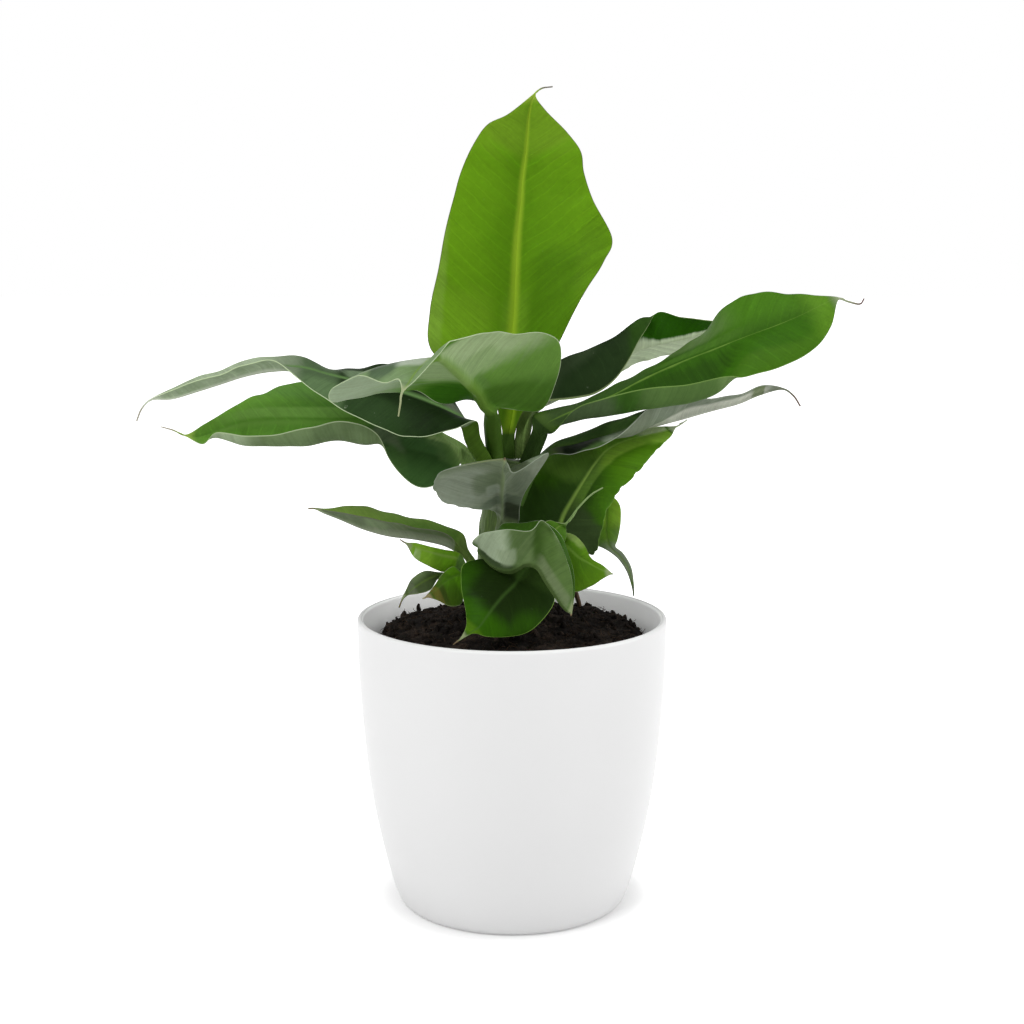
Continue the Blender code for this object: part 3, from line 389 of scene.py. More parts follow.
LOOKS = {
    "upright_leaf": PLAIN._replace(
        seed=11, top=(0.098, 0.24, 0.005), far=(0.15, 0.34, 0.009), deep=(0.055, 0.165, 0.003),
        under=(0.43, 0.49, 0.3), bloom=(0.5, 0.55, 0.38), under_deep=(0.3, 0.37, 0.18),
        rib=(0.32, 0.5, 0.028), keel=(0.4, 0.5, 0.15), stalk=(0.055, 0.11, 0.018), edge=(0.1, 0.12, 0.035),
        tail=(0.34, 0.5, 0.05), tail_end=(0.2, 0.17, 0.14), through=0.15, shine=0.03, rough=0.5,
        rib_width=1.5, rib_strength=1.0, edge_width=0.6, flecks=0.05, ripple=0.6,
        top_zones=[(0.36, -32, 0.1, 20, (0.16, 0.33, 0.014)), (0.36, 2, 0.1, 9, (0.17, 0.34, 0.02), 0.6),
                   (0.97, 0, 0.14, 30, (0.19, 0.35, 0.02), 0.7),
                   (0.34, 26, 0.22, 17, (0.072, 0.185, 0.004), 0.8),
                   (0.12, 0, 0.12, 40, (0.06, 0.13, 0.008), 0.7), (0.42, -47, 0.3, 6, (0.2, 0.36, 0.04), 0.7),
                   (0.51, 46, 0.12, 9, (0.1, 0.23, 0.008), 0.7)]),
    # Its stalk is darkened as painted shade; on its underside the pale zones are painted sheen and the dark
    # green zone painted shade
    "front_leaf": PLAIN._replace(
        seed=12, top=(0.13, 0.22, 0.07), far=(0.2, 0.29, 0.14), deep=(0.08, 0.16, 0.04),
        under=(0.088, 0.215, 0.022), bloom=(0.13, 0.26, 0.05), under_deep=(0.045, 0.14, 0.008),
        keel=(0.17, 0.3, 0.045), stalk=(0.065, 0.135, 0.017), edge=(0.5, 0.61, 0.37), tail=(0.4, 0.45, 0.25),
        tail_end=(0.35, 0.38, 0.2), through=0.12, wax=0.8, shine=0.05, rib_width=1.2, edge_width=0.5,
        edge_strength=1.0,
        top_zones=[(0.78, 22, 0.08, 8, (0.07, 0.11, 0.06), 0.9), (0.74, 8, 0.07, 8, (0.4, 0.46, 0.36), 0.9)],
        low_zones=[(0.17, 0, 0.06, 40, (0.075, 0.175, 0.02), 0.8),
                   (0.33, -38, 0.1, 30, (0.17, 0.34, 0.06), 0.9),
                   (0.48, -20, 0.14, 34, (0.43, 0.56, 0.29), 0.95),
                   (0.66, 40, 0.25, 33, (0.4, 0.5, 0.33), 0.95), (0.46, 8, 0.1, 12, (0.3, 0.43, 0.19), 0.9),
                   (0.2, 14, 0.14, 13, (0.032, 0.12, 0.006), 0.95),
                   (0.28, -5, 0.05, 4, (0.14, 0.27, 0.06), 0.8),
                   (0.39, -12, 0.045, 13, (0.28, 0.41, 0.17), 0.8)]),
    # Its very dark upper side is painted shade, cast by the front leaf above it, and its grey zone at the base
    # a painted glare
    "left_long_leaf": PLAIN._replace(
        seed=13, top=(0.007, 0.017, 0.004), far=(0.02, 0.046, 0.012), deep=(0.006, 0.014, 0.003),
        under=(0.34, 0.44, 0.27), bloom=(0.42, 0.5, 0.35), under_deep=(0.2, 0.29, 0.14),
        rib=(0.1, 0.19, 0.06), keel=(0.6, 0.66, 0.52), stalk=(0.08, 0.16, 0.018), edge=(0.5, 0.61, 0.37),
        tail=(0.6, 0.66, 0.52), tail_end=(0.4, 0.38, 0.3), through=0.04, shine=0.025, rough=0.36,
        rib_strength=1.0, edge_strength=1.0, flecks=0.3,
        top_zones=[(0.51, 0, 0.085, 40, (0.08, 0.13, 0.06), 0.8), (0.34, 7, 0.07, 6, (0.15, 0.22, 0.12)),
                   (0.63, 0, 0.08, 40, (0.18, 0.23, 0.145)), (0.88, 0, 0.25, 40, (0.34, 0.42, 0.28), 0.9),
                   (0.04, 3, 0.08, 5, (0.12, 0.14, 0.1), 0.8),
                   (0.36, -26, 0.12, 14, (0.024, 0.054, 0.015), 0.8),
                   (0.48, -22, 0.06, 14, (0.1, 0.17, 0.07), 0.8)]),
    # Its dark zone at the left of its base is a painted shadow, cast by the long left leaf above it, and its
    # pale grey zone beside it a painted glare
    "left_broad_leaf": PLAIN._replace(
        seed=14, top=(0.07, 0.19, 0.018), far=(0.125, 0.29, 0.034), deep=(0.035, 0.11, 0.012),
        under=(0.115, 0.17, 0.07), bloom=(0.155, 0.22, 0.105), under_deep=(0.08, 0.14, 0.045),
        rib=(0.12, 0.26, 0.04), stalk=(0.3, 0.46, 0.15), edge=(0.45, 0.55, 0.32), tail=(0.3, 0.45, 0.08),
        tail_end=(0.42, 0.38, 0.3), through=0.1, shine=0.04, edge_strength=1.0,
        top_zones=[(0.16, -26, 0.2, 34, (0.036, 0.085, 0.025), 0.9),
                   (0.3, 0, 0.08, 40, (0.065, 0.14, 0.035), 0.7),
                   (0.3, -14, 0.07, 10, (0.16, 0.21, 0.12), 0.8),
                   (0.6, 26, 0.14, 9, (0.09, 0.2, 0.04), 0.7, 0.5),
                   (0.02, -5, 0.09, 7, (0.32, 0.46, 0.17), 0.9),
                   (0.12, -13, 0.13, 6, (0.075, 0.17, 0.05), 0.8),
                   (0.6, 6, 0.25, 3.5, (0.15, 0.31, 0.055), 0.8),
                   (0.01, -15, 0.06, 8, (0.12, 0.22, 0.07), 0.7)],
        low_zones=[(0.96, 0, 0.19, 40, (0.34, 0.43, 0.26), 0.9),
                   (0.62, -30, 0.1, 25, (0.17, 0.25, 0.11), 0.8)]),
    "back_right_leaf": PLAIN._replace(
        seed=15, top=(0.012, 0.026, 0.008), far=(0.026, 0.052, 0.016), deep=(0.008, 0.016, 0.005),
        under=(0.46, 0.56, 0.36), bloom=(0.54, 0.62, 0.44), under_deep=(0.42, 0.5, 0.34),
        keel=(0.3, 0.38, 0.2), stalk=(0.14, 0.22, 0.06), through=0.04, shine=0.015, rib_strength=0.4,
        nick=(0.03, 0),
        top_zones=[(0.2, 10, 0.14, 8, (0.05, 0.08, 0.035), 0.7), (0.6, 10, 0.1, 20, (0.03, 0.08, 0.01), 0.8)],
        low_zones=[(0.8, 16, 0.45, 14.7, (0.016, 0.078, 0.001), 1.0, 0.05)]),
    # Its grey zone at the base is a painted glare
    "right_long_leaf": PLAIN._replace(
        seed=16, top=(0.026, 0.08, 0.006), far=(0.062, 0.165, 0.01), deep=(0.014, 0.055, 0.003),
        under=(0.032, 0.088, 0.01), bloom=(0.05, 0.12, 0.022), under_deep=(0.02, 0.06, 0.006),
        rib=(0.17, 0.3, 0.05), stalk=(0.028, 0.058, 0.012), edge=(0.2, 0.33, 0.08), tail=(0.35, 0.4, 0.25),
        tail_end=(0.16, 0.09, 0.08), through=0.1, shine=0.03, rib_width=0.14,
        top_zones=[(0.66, 8, 0.3, 8, (0.034, 0.12, 0.004), 0.75),
                   (0.55, -24, 0.12, 12, (0.1, 0.17, 0.05), 0.7),
                   (0.76, -26, 0.14, 18, (0.065, 0.19, 0.01), 0.7, 0.6),
                   (1.03, 0, 0.1, 30, (0.12, 0.27, 0.02), 0.7, 0.6),
                   (0.2, -8, 0.16, 7, (0.045, 0.09, 0.024), 0.6),
                   (0.42, 6, 0.2, 4.5, (0.022, 0.065, 0.005), 0.8),
                   (0.52, -5.5, 0.15, 3.5, (0.06, 0.15, 0.016), 0.8),
                   (0.06, -1, 0.07, 8, (0.06, 0.1, 0.035), 0.7)],
        low_zones=[(0.45, 24, 0.14, 22, (0.1, 0.18, 0.05), 0.8), (0.13, 16, 0.1, 9, (0.08, 0.12, 0.055), 0.8),
                   (0.62, 22, 0.07, 24, (0.15, 0.24, 0.08))]),
    # Its darkest zone near the base is painted shade, and its silver band painted sheen
    "right_slender_leaf": PLAIN._replace(
        seed=17, top=(0.1, 0.2, 0.055), far=(0.11, 0.2, 0.06), deep=(0.045, 0.09, 0.025),
        under=(0.2, 0.245, 0.17), bloom=(0.31, 0.35, 0.27), under_deep=(0.12, 0.15, 0.1),
        keel=(0.3, 0.34, 0.25), edge=(0.45, 0.5, 0.4), tail=(0.25, 0.28, 0.2), tail_end=(0.16, 0.1, 0.07),
        through=0.04, rib_strength=0.2,
        top_zones=[(0.1, 8, 0.13, 7, (0.006, 0.01, 0.005), 0.97), (0.35, 9, 0.09, 9, (0.62, 0.7, 0.56), 1.0),
                   (0.33, -5, 0.08, 5, (0.2, 0.38, 0.1), 0.8), (0.02, 6, 0.05, 6, (0.07, 0.09, 0.05), 0.9)],
        low_zones=[(0.7, 0, 0.42, 5, (0.62, 0.65, 0.54), 0.95), (0.3, 18, 0.16, 9, (0.19, 0.23, 0.15), 0.8),
                   (1.0, 0, 0.05, 20, (0.14, 0.2, 0.07), 0.8)]),
    # Its lighter zones on its left half, along its rib and at its tip are painted light, where other leaves
    # shade it
    "right_broad_leaf": PLAIN._replace(
        seed=18, top=(0.034, 0.085, 0.01), far=(0.085, 0.24, 0.008), deep=(0.016, 0.045, 0.005),
        rib=(0.42, 0.66, 0.13), edge=(0.16, 0.3, 0.05), tail=(0.6, 0.7, 0.45), tail_end=(0.65, 0.72, 0.5),
        through=0.1, shine=0.03, ripple=1.4, nick=(0, 0.04),
        top_zones=[(0.14, 0, 0.14, 60, (0.03, 0.065, 0.014), 0.75), (0.72, -5, 0.16, 12, (0.2, 0.42, 0.04)),
                   (0.74, 18, 0.16, 11, (0.09, 0.23, 0.008), 0.8),
                   (0.96, -6, 0.12, 6, (0.6, 0.72, 0.42), 0.9), (0.96, 6, 0.12, 6, (0.3, 0.55, 0.06), 0.9),
                   (0.5, 5, 0.3, 3.5, (0.15, 0.29, 0.04)), (0.7, 5, 0.16, 4.5, (0.28, 0.52, 0.05)),
                   (0.17, 22, 0.12, 19, (0.055, 0.09, 0.03), 0.8),
                   (0.47, -20, 0.11, 18, (0.11, 0.22, 0.03), 0.8)]),
    "front_small_leaf": PLAIN._replace(
        seed=19, top=(0.24, 0.3, 0.2), far=(0.28, 0.33, 0.24), under=(0.2, 0.25, 0.155),
        bloom=(0.29, 0.34, 0.25), under_deep=(0.12, 0.16, 0.085), keel=(0.22, 0.29, 0.14),
        stalk=(0.13, 0.18, 0.08), edge=(0.32, 0.37, 0.28), through=0.06, wax=1.0, shine=0.1, nick=(0, 0.04),
        top_zones=[(0.1, 0, 0.16, 40, (0.05, 0.07, 0.035), 0.9),
                   (0.75, -5, 0.15, 12, (0.06, 0.08, 0.04), 0.9)],
        low_zones=[(0.64, 24, 0.24, 15, (0.32, 0.37, 0.28), 0.8),
                   (0.52, -26, 0.2, 12, (0.32, 0.37, 0.27), 0.8), (0.6, 7, 0.14, 9, (0.14, 0.19, 0.1), 0.7),
                   (0.1, -9, 0.16, 9, (0.03, 0.043, 0.02), 0.9), (0.29, 0, 0.06, 16, (0.13, 0.17, 0.11), 0.8),
                   (0.46, 5, 0.07, 4, (0.34, 0.4, 0.3), 0.8), (0.45, -13, 0.07, 6, (0.17, 0.21, 0.14), 0.7)]),
    # Its upper side and the zone at its base are lightened, painted light against the shade of the broad right
    # leaf above it
    "right_hanging_leaf": PLAIN._replace(
        seed=20, top=(0.26, 0.5, 0.045), far=(0.2, 0.32, 0.09), deep=(0.14, 0.3, 0.02),
        tail=(0.2, 0.22, 0.17), tail_end=(0.14, 0.16, 0.12), through=0.3, edge_strength=0.3,
        top_zones=[(0.1, 0, 0.2, 30, (0.5, 0.85, 0.08), 0.9), (0.78, 0, 0.26, 30, (0.36, 0.39, 0.31), 0.9)]),
    "arched_leaf": PLAIN._replace(
        seed=21, top=(0.05, 0.125, 0.013), far=(0.042, 0.11, 0.01), under=(0.082, 0.14, 0.042),
        bloom=(0.13, 0.19, 0.075), under_deep=(0.05, 0.1, 0.02), keel=(0.055, 0.095, 0.022),
        edge=(0.42, 0.5, 0.34), through=0.08, wax=0.8, shine=0.05, ripple=1.5,
        low_zones=[(0.12, 14, 0.17, 18, (0.39, 0.48, 0.32), 0.9),
                   (0.15, -1.5, 0.2, 4.5, (0.024, 0.045, 0.012), 0.97, 0.15),
                   (0.28, 6.5, 0.07, 4, (0.26, 0.33, 0.2), 0.8),
                   (0.6, 14, 0.12, 12, (0.034, 0.075, 0.01), 0.95),
                   (0.8, 3, 0.22, 4, (0.15, 0.2, 0.095), 0.8), (0.85, -3, 0.24, 4, (0.07, 0.11, 0.035)),
                   (0.8, 15, 0.22, 8, (0.09, 0.16, 0.04), 0.7)]),
    "bright_right_leaf": PLAIN._replace(
        seed=22, top=(0.064, 0.16, 0.007), far=(0.115, 0.25, 0.012), deep=(0.05, 0.15, 0.005),
        rib=(0.16, 0.3, 0.04), tail=(0.3, 0.38, 0.18), tail_end=(0.5, 0.55, 0.38), shine=0.03,
        top_zones=[(0.32, -9, 0.2, 4, (0.24, 0.36, 0.09))]),
    "tendril_leaf": PLAIN._replace(
        seed=23, top=(0.08, 0.2, 0.015), far=(0.09, 0.22, 0.016), deep=(0.05, 0.13, 0.01),
        tail=(0.24, 0.36, 0.13), tail_end=(0.3, 0.4, 0.18)),
    # Its dark upper side is a painted shadow, cast by the leaves above it, and its greener zones towards the
    # tip and the sides painted light where it is lit
    "round_leaf": PLAIN._replace(
        seed=24, top=(0.011, 0.024, 0.004), far=(0.013, 0.034, 0.004), deep=(0.008, 0.018, 0.003),
        rib=(0.05, 0.11, 0.02), edge=(0.22, 0.38, 0.07), through=0.06, shine=0.03, rib_strength=0.6,
        edge_strength=1.0,
        top_zones=[(0.04, 0, 0.18, 40, (0.03, 0.065, 0.01)), (0.9, 0, 0.27, 70, (0.027, 0.095, 0.002), 0.95),
                   (0.58, 32, 0.22, 14, (0.024, 0.08, 0.003), 0.9),
                   (0.66, -26, 0.25, 13, (0.024, 0.078, 0.003)), (1.0, 0, 0.12, 70, (0.065, 0.15, 0.006)),
                   (0.14, 0, 0.08, 3, (0.04, 0.09, 0.014), 0.8)]),
    "slender_left_leaf": PLAIN._replace(
        seed=25, top=(0.09, 0.175, 0.03), far=(0.2, 0.33, 0.06), deep=(0.06, 0.12, 0.02),
        under=(0.16, 0.215, 0.1), bloom=(0.24, 0.285, 0.18), under_deep=(0.11, 0.15, 0.07),
        keel=(0.36, 0.4, 0.29), stalk=(0.13, 0.2, 0.045), edge=(0.14, 0.13, 0.11), edge_width=0.35,
        edge_strength=0.7,
        top_zones=[(0.75, 5, 0.22, 20, (0.2, 0.31, 0.06), 0.7)],
        low_zones=[(0.36, -1, 0.3, 3.5, (0.27, 0.31, 0.21), 0.8),
                   (0.82, -6, 0.2, 20, (0.15, 0.19, 0.11), 0.8),
                   (0.58, -6, 0.08, 4, (0.24, 0.32, 0.17), 0.8)]),
    "small_left_leaf": PLAIN._replace(
        seed=26, top=(0.12, 0.28, 0.012), far=(0.19, 0.38, 0.02), deep=(0.065, 0.17, 0.008),
        top_zones=[(0.2, -8, 0.2, 7, (0.17, 0.4, 0.016), 0.8), (0.72, -12, 0.12, 4, (0.5, 0.6, 0.36), 0.9),
                   (0.95, -6, 0.08, 6, (0.42, 0.5, 0.3), 0.8), (0.8, 0, 0.2, 30, (0.21, 0.4, 0.03), 0.6)]),
    "browned_leaf": PLAIN._replace(
        seed=27, top=(0.075, 0.21, 0.007), far=(0.06, 0.12, 0.009), deep=(0.035, 0.09, 0.007),
        rib=(0.1, 0.2, 0.03), tail=(0.3, 0.25, 0.12), tail_end=(0.5, 0.45, 0.3), rib_strength=0.4,
        top_zones=[(0.1, 0, 0.16, 30, (0.11, 0.3, 0.009), 0.7), (0.74, -6, 0.13, 7, (0.04, 0.06, 0.008)),
                   (0.92, 0, 0.14, 30, (0.13, 0.12, 0.02))]),
    "drooping_leaf": PLAIN._replace(
        seed=28, top=(0.06, 0.09, 0.028), far=(0.08, 0.115, 0.045), deep=(0.035, 0.055, 0.016),
        rib_strength=0.3,
        top_zones=[(0.5, 12, 0.6, 9.5, (0.2, 0.28, 0.12), 0.7), (0.8, 0, 0.14, 30, (0.14, 0.17, 0.1), 0.8)]),
}

# Stage: the floor's half size and height, in millimetres, its glow near the planter and the distances
# over which it becomes white; the rest in metres
FLOOR_HALF = 8000
FLOOR_DROP = -0.4
FLOOR_GLOW = 0.3
FLOOR_FADE = (0.068, 0.105)
AMBIENT = 0.6
CEILING = 0.12           # what a glossy surface mirrors overhead, where the world at its own level is 1
CEILING_EDGE = (0.1, 0.55)
LIGHT_AIM = (0, 0, 0.24)
# Each lamp's name, place, size and level
LAMPS = [("key softbox", (-1.0, -1.5, 1.7), (1.0, 1.0), 0.38),
         ("top softbox", (0.1, -0.1, 2.3), (1.2, 1.2), 0.26),
         ("left softbox", (-2.0, -0.3, 0.8), (1.2, 1.4), 0.07),
         ("right softbox", (2.0, -0.3, 0.8), (1.2, 1.4), 0.32)]
LENS = 62.61             # millimetres, as is the sensor's width
SENSOR = 36
CLIP = (0.01, 100)
CAMERA_PLACE = (0, -1.0155, 0.399)
CAMERA_TILT = 80.6       # degrees up from straight down


# Node trees, written as Python expressions

def maths(operation, swapped=False):
    """An operator that adds a Math node."""
    def apply(self, other):
        return self.graph.math(operation, *((other, self) if swapped else (self, other)))
    return apply


class Signal:
    """A socket in a node tree. Python's operators on it add Math nodes."""

    def __init__(self, graph, socket):
        self.graph, self.socket = graph, socket

    __add__ = __radd__ = maths("ADD")
    __sub__, __rsub__ = maths("SUBTRACT"), maths("SUBTRACT", swapped=True)
    __mul__ = __rmul__ = maths("MULTIPLY")
    __truediv__, __rtruediv__ = maths("DIVIDE"), maths("DIVIDE", swapped=True)
    __pow__ = maths("POWER")

    def output(self, key):
        """Another output of the same node."""
        return Signal(self.graph, pick(self.socket.node.outputs, key))


def pick(sockets, key):
    """A live socket by its name, or by its place among the live ones."""
    live = [socket for socket in sockets if socket.enabled]
    return live[key] if isinstance(key, int) else next(socket for socket in live if socket.name == key)


class Graph:
    """Adds nodes to a tree."""

    def __init__(self, tree):
        self.tree = tree

    def node(self, kind, inputs=None, output=0, **settings):
        """One node: its settings first, then the values or links of its sockets. Gives one output."""
        made = self.tree.nodes.new(kind)
        for name, value in settings.items():
            setattr(made, name, value)
        for key, value in (inputs or {}).items():
            socket = pick(made.inputs, key)
            if isinstance(value, Signal):
                self.tree.links.new(value.socket, socket)
            else:
                socket.default_value = (*value, 1) if socket.type == "RGBA" else value
        return Signal(self, pick(made.outputs, output)) if len(made.outputs) else made

    def math(self, operation, *values):
        return self.node("ShaderNodeMath", dict(enumerate(values)), operation=operation)

    def largest(self, first, *others):
        for other in others:
            first = self.math("MAXIMUM", first, other)
        return first

    def vector(self, x, y, z):
        return self.node("ShaderNodeCombineXYZ", {0: x, 1: y, 2: z})

    def parts(self, vector):
        """The x, y and z of a vector."""
        x = self.node("ShaderNodeSeparateXYZ", {0: vector})
        return x, x.output("Y"), x.output("Z")

    def scaled(self, vector, by):
        factors = by if isinstance(by, Signal) else (by, by, by)
        return self.node("ShaderNodeVectorMath", {0: vector, 1: factors}, operation="MULTIPLY")

    def smooth(self, value, low, high):
        """0 where value is low, 1 where it is high, and a smooth step between them."""
        return self.node("ShaderNodeMapRange", {"Value": value, "From Min": low, "From Max": high},
                         interpolation_type="SMOOTHSTEP")

    def noise(self, vector, scale, detail=2.0, roughness=0.5):
        return self.node("ShaderNodeTexNoise", {"Vector": vector, "Scale": scale, "Detail": detail,
                                                "Roughness": roughness})


class Finish(Graph):
    """A material."""

    def __init__(self, name):
        self.material = bpy.data.materials.new(name)
        self.material.use_nodes = True
        super().__init__(self.material.node_tree)
        self.tree.nodes.clear()
        self.place = self.node("ShaderNodeTexCoord", output="Object")

    def attribute(self, name):
        return self.node("ShaderNodeAttribute", output="Fac", attribute_name=name)

    def mix(self, factor, first, second):
        return self.node("ShaderNodeMix", {"Factor": factor, "A": first, "B": second}, "Result",
                         data_type="RGBA")

    def bump(self, height, depth):
        """Relief of depth millimetres where height runs from 0 to 1."""
        return self.node("ShaderNodeBump", {"Height": height, "Distance": depth * MM, "Strength": 1.0})

    def surface(self, inputs, through_color=None, share=0.0):
        """Ends the material with one shader, of which share lets light through in through_color."""
        shader = self.node("ShaderNodeBsdfPrincipled", inputs)
        if through_color:
            glow = self.node("ShaderNodeBsdfTranslucent", {"Color": through_color, "Normal": inputs["Normal"]})
            shader = self.node("ShaderNodeMixShader", {0: share, 1: shader, 2: glow})
        self.node("ShaderNodeOutputMaterial", {"Surface": shader})
        return self.material


class Builder(Graph):
    """A Geometry Nodes tree, with its material and its sizes as inputs."""

    def __init__(self, name, material, sizes):
        super().__init__(bpy.data.node_groups.new(name, "GeometryNodeTree"))
        face = self.tree.interface
        for way in ("INPUT", "OUTPUT"):
            face.new_socket("Geometry", in_out=way, socket_type="NodeSocketGeometry")
        self.values = {}
        for label, value in {"Material": material, **sizes}.items():
            kind = {int: "Int", float: "Float"}.get(type(value), "Material")
            socket = face.new_socket(label, in_out="INPUT", socket_type="NodeSocket" + kind)
            self.values[socket.identifier] = value
        self.start = self.tree.nodes.new("NodeGroupInput")

    def given(self, name="Geometry"):
        return Signal(self, self.start.outputs[name])

    def named(self, name):
        """A number that keep has stored."""
        return self.node("GeometryNodeInputNamedAttribute", {"Name": name}, "Attribute", data_type="FLOAT")

    def keep(self, geometry, name, value):
        """Stores a number at each point, for the material."""
        return self.node("GeometryNodeStoreNamedAttribute",
                         {"Geometry": geometry, "Name": name, "Value": value},
                         data_type="FLOAT", domain="POINT")

    def moved(self, geometry, offset=None, position=None):
        """Every point moved by an offset, or to a position."""
        places = {"Offset": offset} if position is None else {"Position": position}
        return self.node("GeometryNodeSetPosition", {"Geometry": geometry, **places})

    def swept(self, curve, profile, scale):
        return self.node("GeometryNodeCurveToMesh", {"Curve": curve, "Profile Curve": profile,
                                                     "Fill Caps": True, "Scale": scale})

    def circle(self, sides):
        return self.node("GeometryNodeCurvePrimitiveCircle", {"Resolution": sides, "Radius": 1.0},
                         mode="RADIUS")

    def random(self, low, high, seed):
        kind = "FLOAT_VECTOR" if isinstance(low, tuple) else "FLOAT"
        return self.node("FunctionNodeRandomValue", {"Min": low, "Max": high, "Seed": seed}, data_type=kind)

    def scattered(self, piece, turn, scale):
        """Copies of a piece all over the source mesh, as many as Density asks in each square metre."""
        points = self.node("GeometryNodeDistributePointsOnFaces", {
            "Mesh": self.given(), "Density": self.given("Density"), "Seed": self.given("Seed")})
        made = self.node("GeometryNodeInstanceOnPoints", {"Points": points, "Instance": piece, "Rotation": turn,
                                                          "Scale": scale})
        return self.node("GeometryNodeRealizeInstances", {"Geometry": made})

    def bent(self, geometry, scale, detail, centre, amount):
        """Moves every point by a noise of amount, less its centre."""
        noise = self.node("ShaderNodeTexNoise", {"Scale": scale, "Detail": detail}, "Color")
        noise = self.node("ShaderNodeVectorMath", {0: noise, 1: centre}, operation="SUBTRACT")
        return self.moved(geometry, offset=self.scaled(noise, amount))

    def mesh(self, geometry, source, name):
        """Ends the tree, and turns what it makes of the source mesh into a plain mesh."""
        geometry = self.node("GeometryNodeRealizeInstances", {"Geometry": geometry})
        geometry = self.node("GeometryNodeSetShadeSmooth", {"Geometry": geometry})
        geometry = self.node("GeometryNodeSetMaterial", {"Geometry": geometry,
                                                         "Material": self.given("Material")})
        end = self.tree.nodes.new("NodeGroupOutput")
        self.tree.links.new(geometry.socket, end.inputs[0])
        guide = add_object(name, source)
        modifier = guide.modifiers.new(self.tree.name, "NODES")
        modifier.node_group = self.tree
        for identifier, value in self.values.items():
            modifier[identifier] = value
        graph = bpy.context.evaluated_depsgraph_get()
        made = bpy.data.meshes.new_from_object(guide.evaluated_get(graph), depsgraph=graph)
        made.name = name
        bpy.data.objects.remove(guide)
        return made


# Shapes

def unit(vectors):
    vectors = np.asarray(vectors, float)
    return vectors / np.maximum(np.linalg.norm(vectors, axis=-1, keepdims=True), 1e-9)


def lengths_to(points):
    """How far along a line each of its points lies."""
    return np.concatenate([[0], np.cumsum(np.linalg.norm(np.diff(points, axis=0), axis=1))])


def through(values, knots, places):
    """A smooth curve through values at knots, read at places."""
    slopes = np.gradient(values, knots, axis=0)
    span = np.clip(np.searchsorted(knots, places, side="right") - 1, 0, len(knots) - 2)
    column = (-1,) + (1,) * (values.ndim - 1)
    width = (knots[span + 1] - knots[span]).reshape(column)
    t = (places - knots[span]).reshape(column) / width
    return ((2 * t**3 - 3 * t**2 + 1) * values[span] + (t**3 - 2 * t**2 + t) * slopes[span] * width
            + (3 * t**2 - 2 * t**3) * values[span + 1] + (t**3 - t**2) * slopes[span + 1] * width)


def even_curve(points, count):
    """A smooth curve through points, as count points spread along it."""
    values = np.array(points, float)
    knots = lengths_to(values)
    return through(values, knots, np.linspace(0, knots[-1], count))


def arc(centre, radius, count):
    """Points on the upper half of a circle, from its outer side to its inner side."""
    angles = np.radians(np.linspace(0, 180, count))
    return np.stack([centre[0] + radius * np.cos(angles), centre[1] + radius * np.sin(angles)], axis=1)


def make_mesh(name, points, faces, edges=(), sharp=None):
    mesh = bpy.data.meshes.new(name)
    mesh.from_pydata((np.asarray(points, float) * MM).tolist(), list(edges), faces)
    if len(faces):
        mesh.shade_smooth()
    if sharp:
        mesh.set_sharp_from_angle(angle=math.radians(sharp))
    return mesh


def polyline(name, points):
    return make_mesh(name, points, [], [(i, i + 1) for i in range(len(points) - 1)])


def store(mesh, name, values):
    attribute = mesh.attributes.new(name, "FLOAT", "POINT")
    attribute.data.foreach_set("value", np.ascontiguousarray(values, np.float32).reshape(-1))


def add_object(name, data):
    made = bpy.data.objects.new(name, data)
    bpy.context.scene.collection.objects.link(made)
    return made


def add_piece(name, mesh, material, node=None, slot=None):
    """A finished mesh as a piece of the plant. node is the CAD node that it stands for."""
    piece = add_object(name, mesh)
    mesh.materials.clear()
    mesh.materials.append(material)
    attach(piece, BODY)
    if node:
        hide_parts(node)
    slot or node


def turned_piece(name, profile, material, steps, relief=0.0, lump=1.0, relief_from=0.0):
    """A closed profile of (radius, height), from the axis below, up the outer side and back to the axis,
    turned about Z by Geometry Nodes. relief is the height of lumps above the height relief_from."""
    tree = Builder("turned " + name, material, {
        "Steps": steps, "Rows": len(profile), "Relief": relief * MM, "Lump": lump * MM,
        "Relief From": relief_from * MM})
    around = tree.given("Steps") + 1
    grid = tree.node("GeometryNodeMeshGrid", {"Vertices X": tree.given("Rows"), "Vertices Y": around})
    index = tree.node("GeometryNodeInputIndex")
    row = tree.math("FLOOR", (index + 0.5) / around)
    angle = (index - row * around) * (2 * math.pi / tree.given("Steps"))
    point = tree.node("GeometryNodeSampleIndex",
                      {"Geometry": tree.given(), "Value": tree.node("GeometryNodeInputPosition"), "Index": row},
                      data_type="FLOAT_VECTOR", domain="POINT")
    radius, _, height = tree.parts(point)
    turned = tree.moved(grid, position=tree.vector(radius * tree.math("COSINE", angle),
                                                   radius * tree.math("SINE", angle), height))
    turned = tree.node("GeometryNodeMergeByDistance", {"Geometry": turned, "Distance": MERGE * MM})
    if relief:
        place = tree.node("GeometryNodeInputPosition")
        lumps = tree.noise(place, 1 / tree.given("Lump"), 5, 0.62) - 0.5
        start = tree.given("Relief From")
        high = tree.smooth(tree.parts(place)[2], start, start + RELIEF_FADE * MM)
        turned = tree.moved(turned, offset=tree.scaled(tree.node("GeometryNodeInputNormal"),
                                                       lumps * high * 2 * tree.given("Relief")))
    return tree.mesh(turned, polyline(name, [(radius, 0, height) for radius, height in profile]), name)


# Leaves

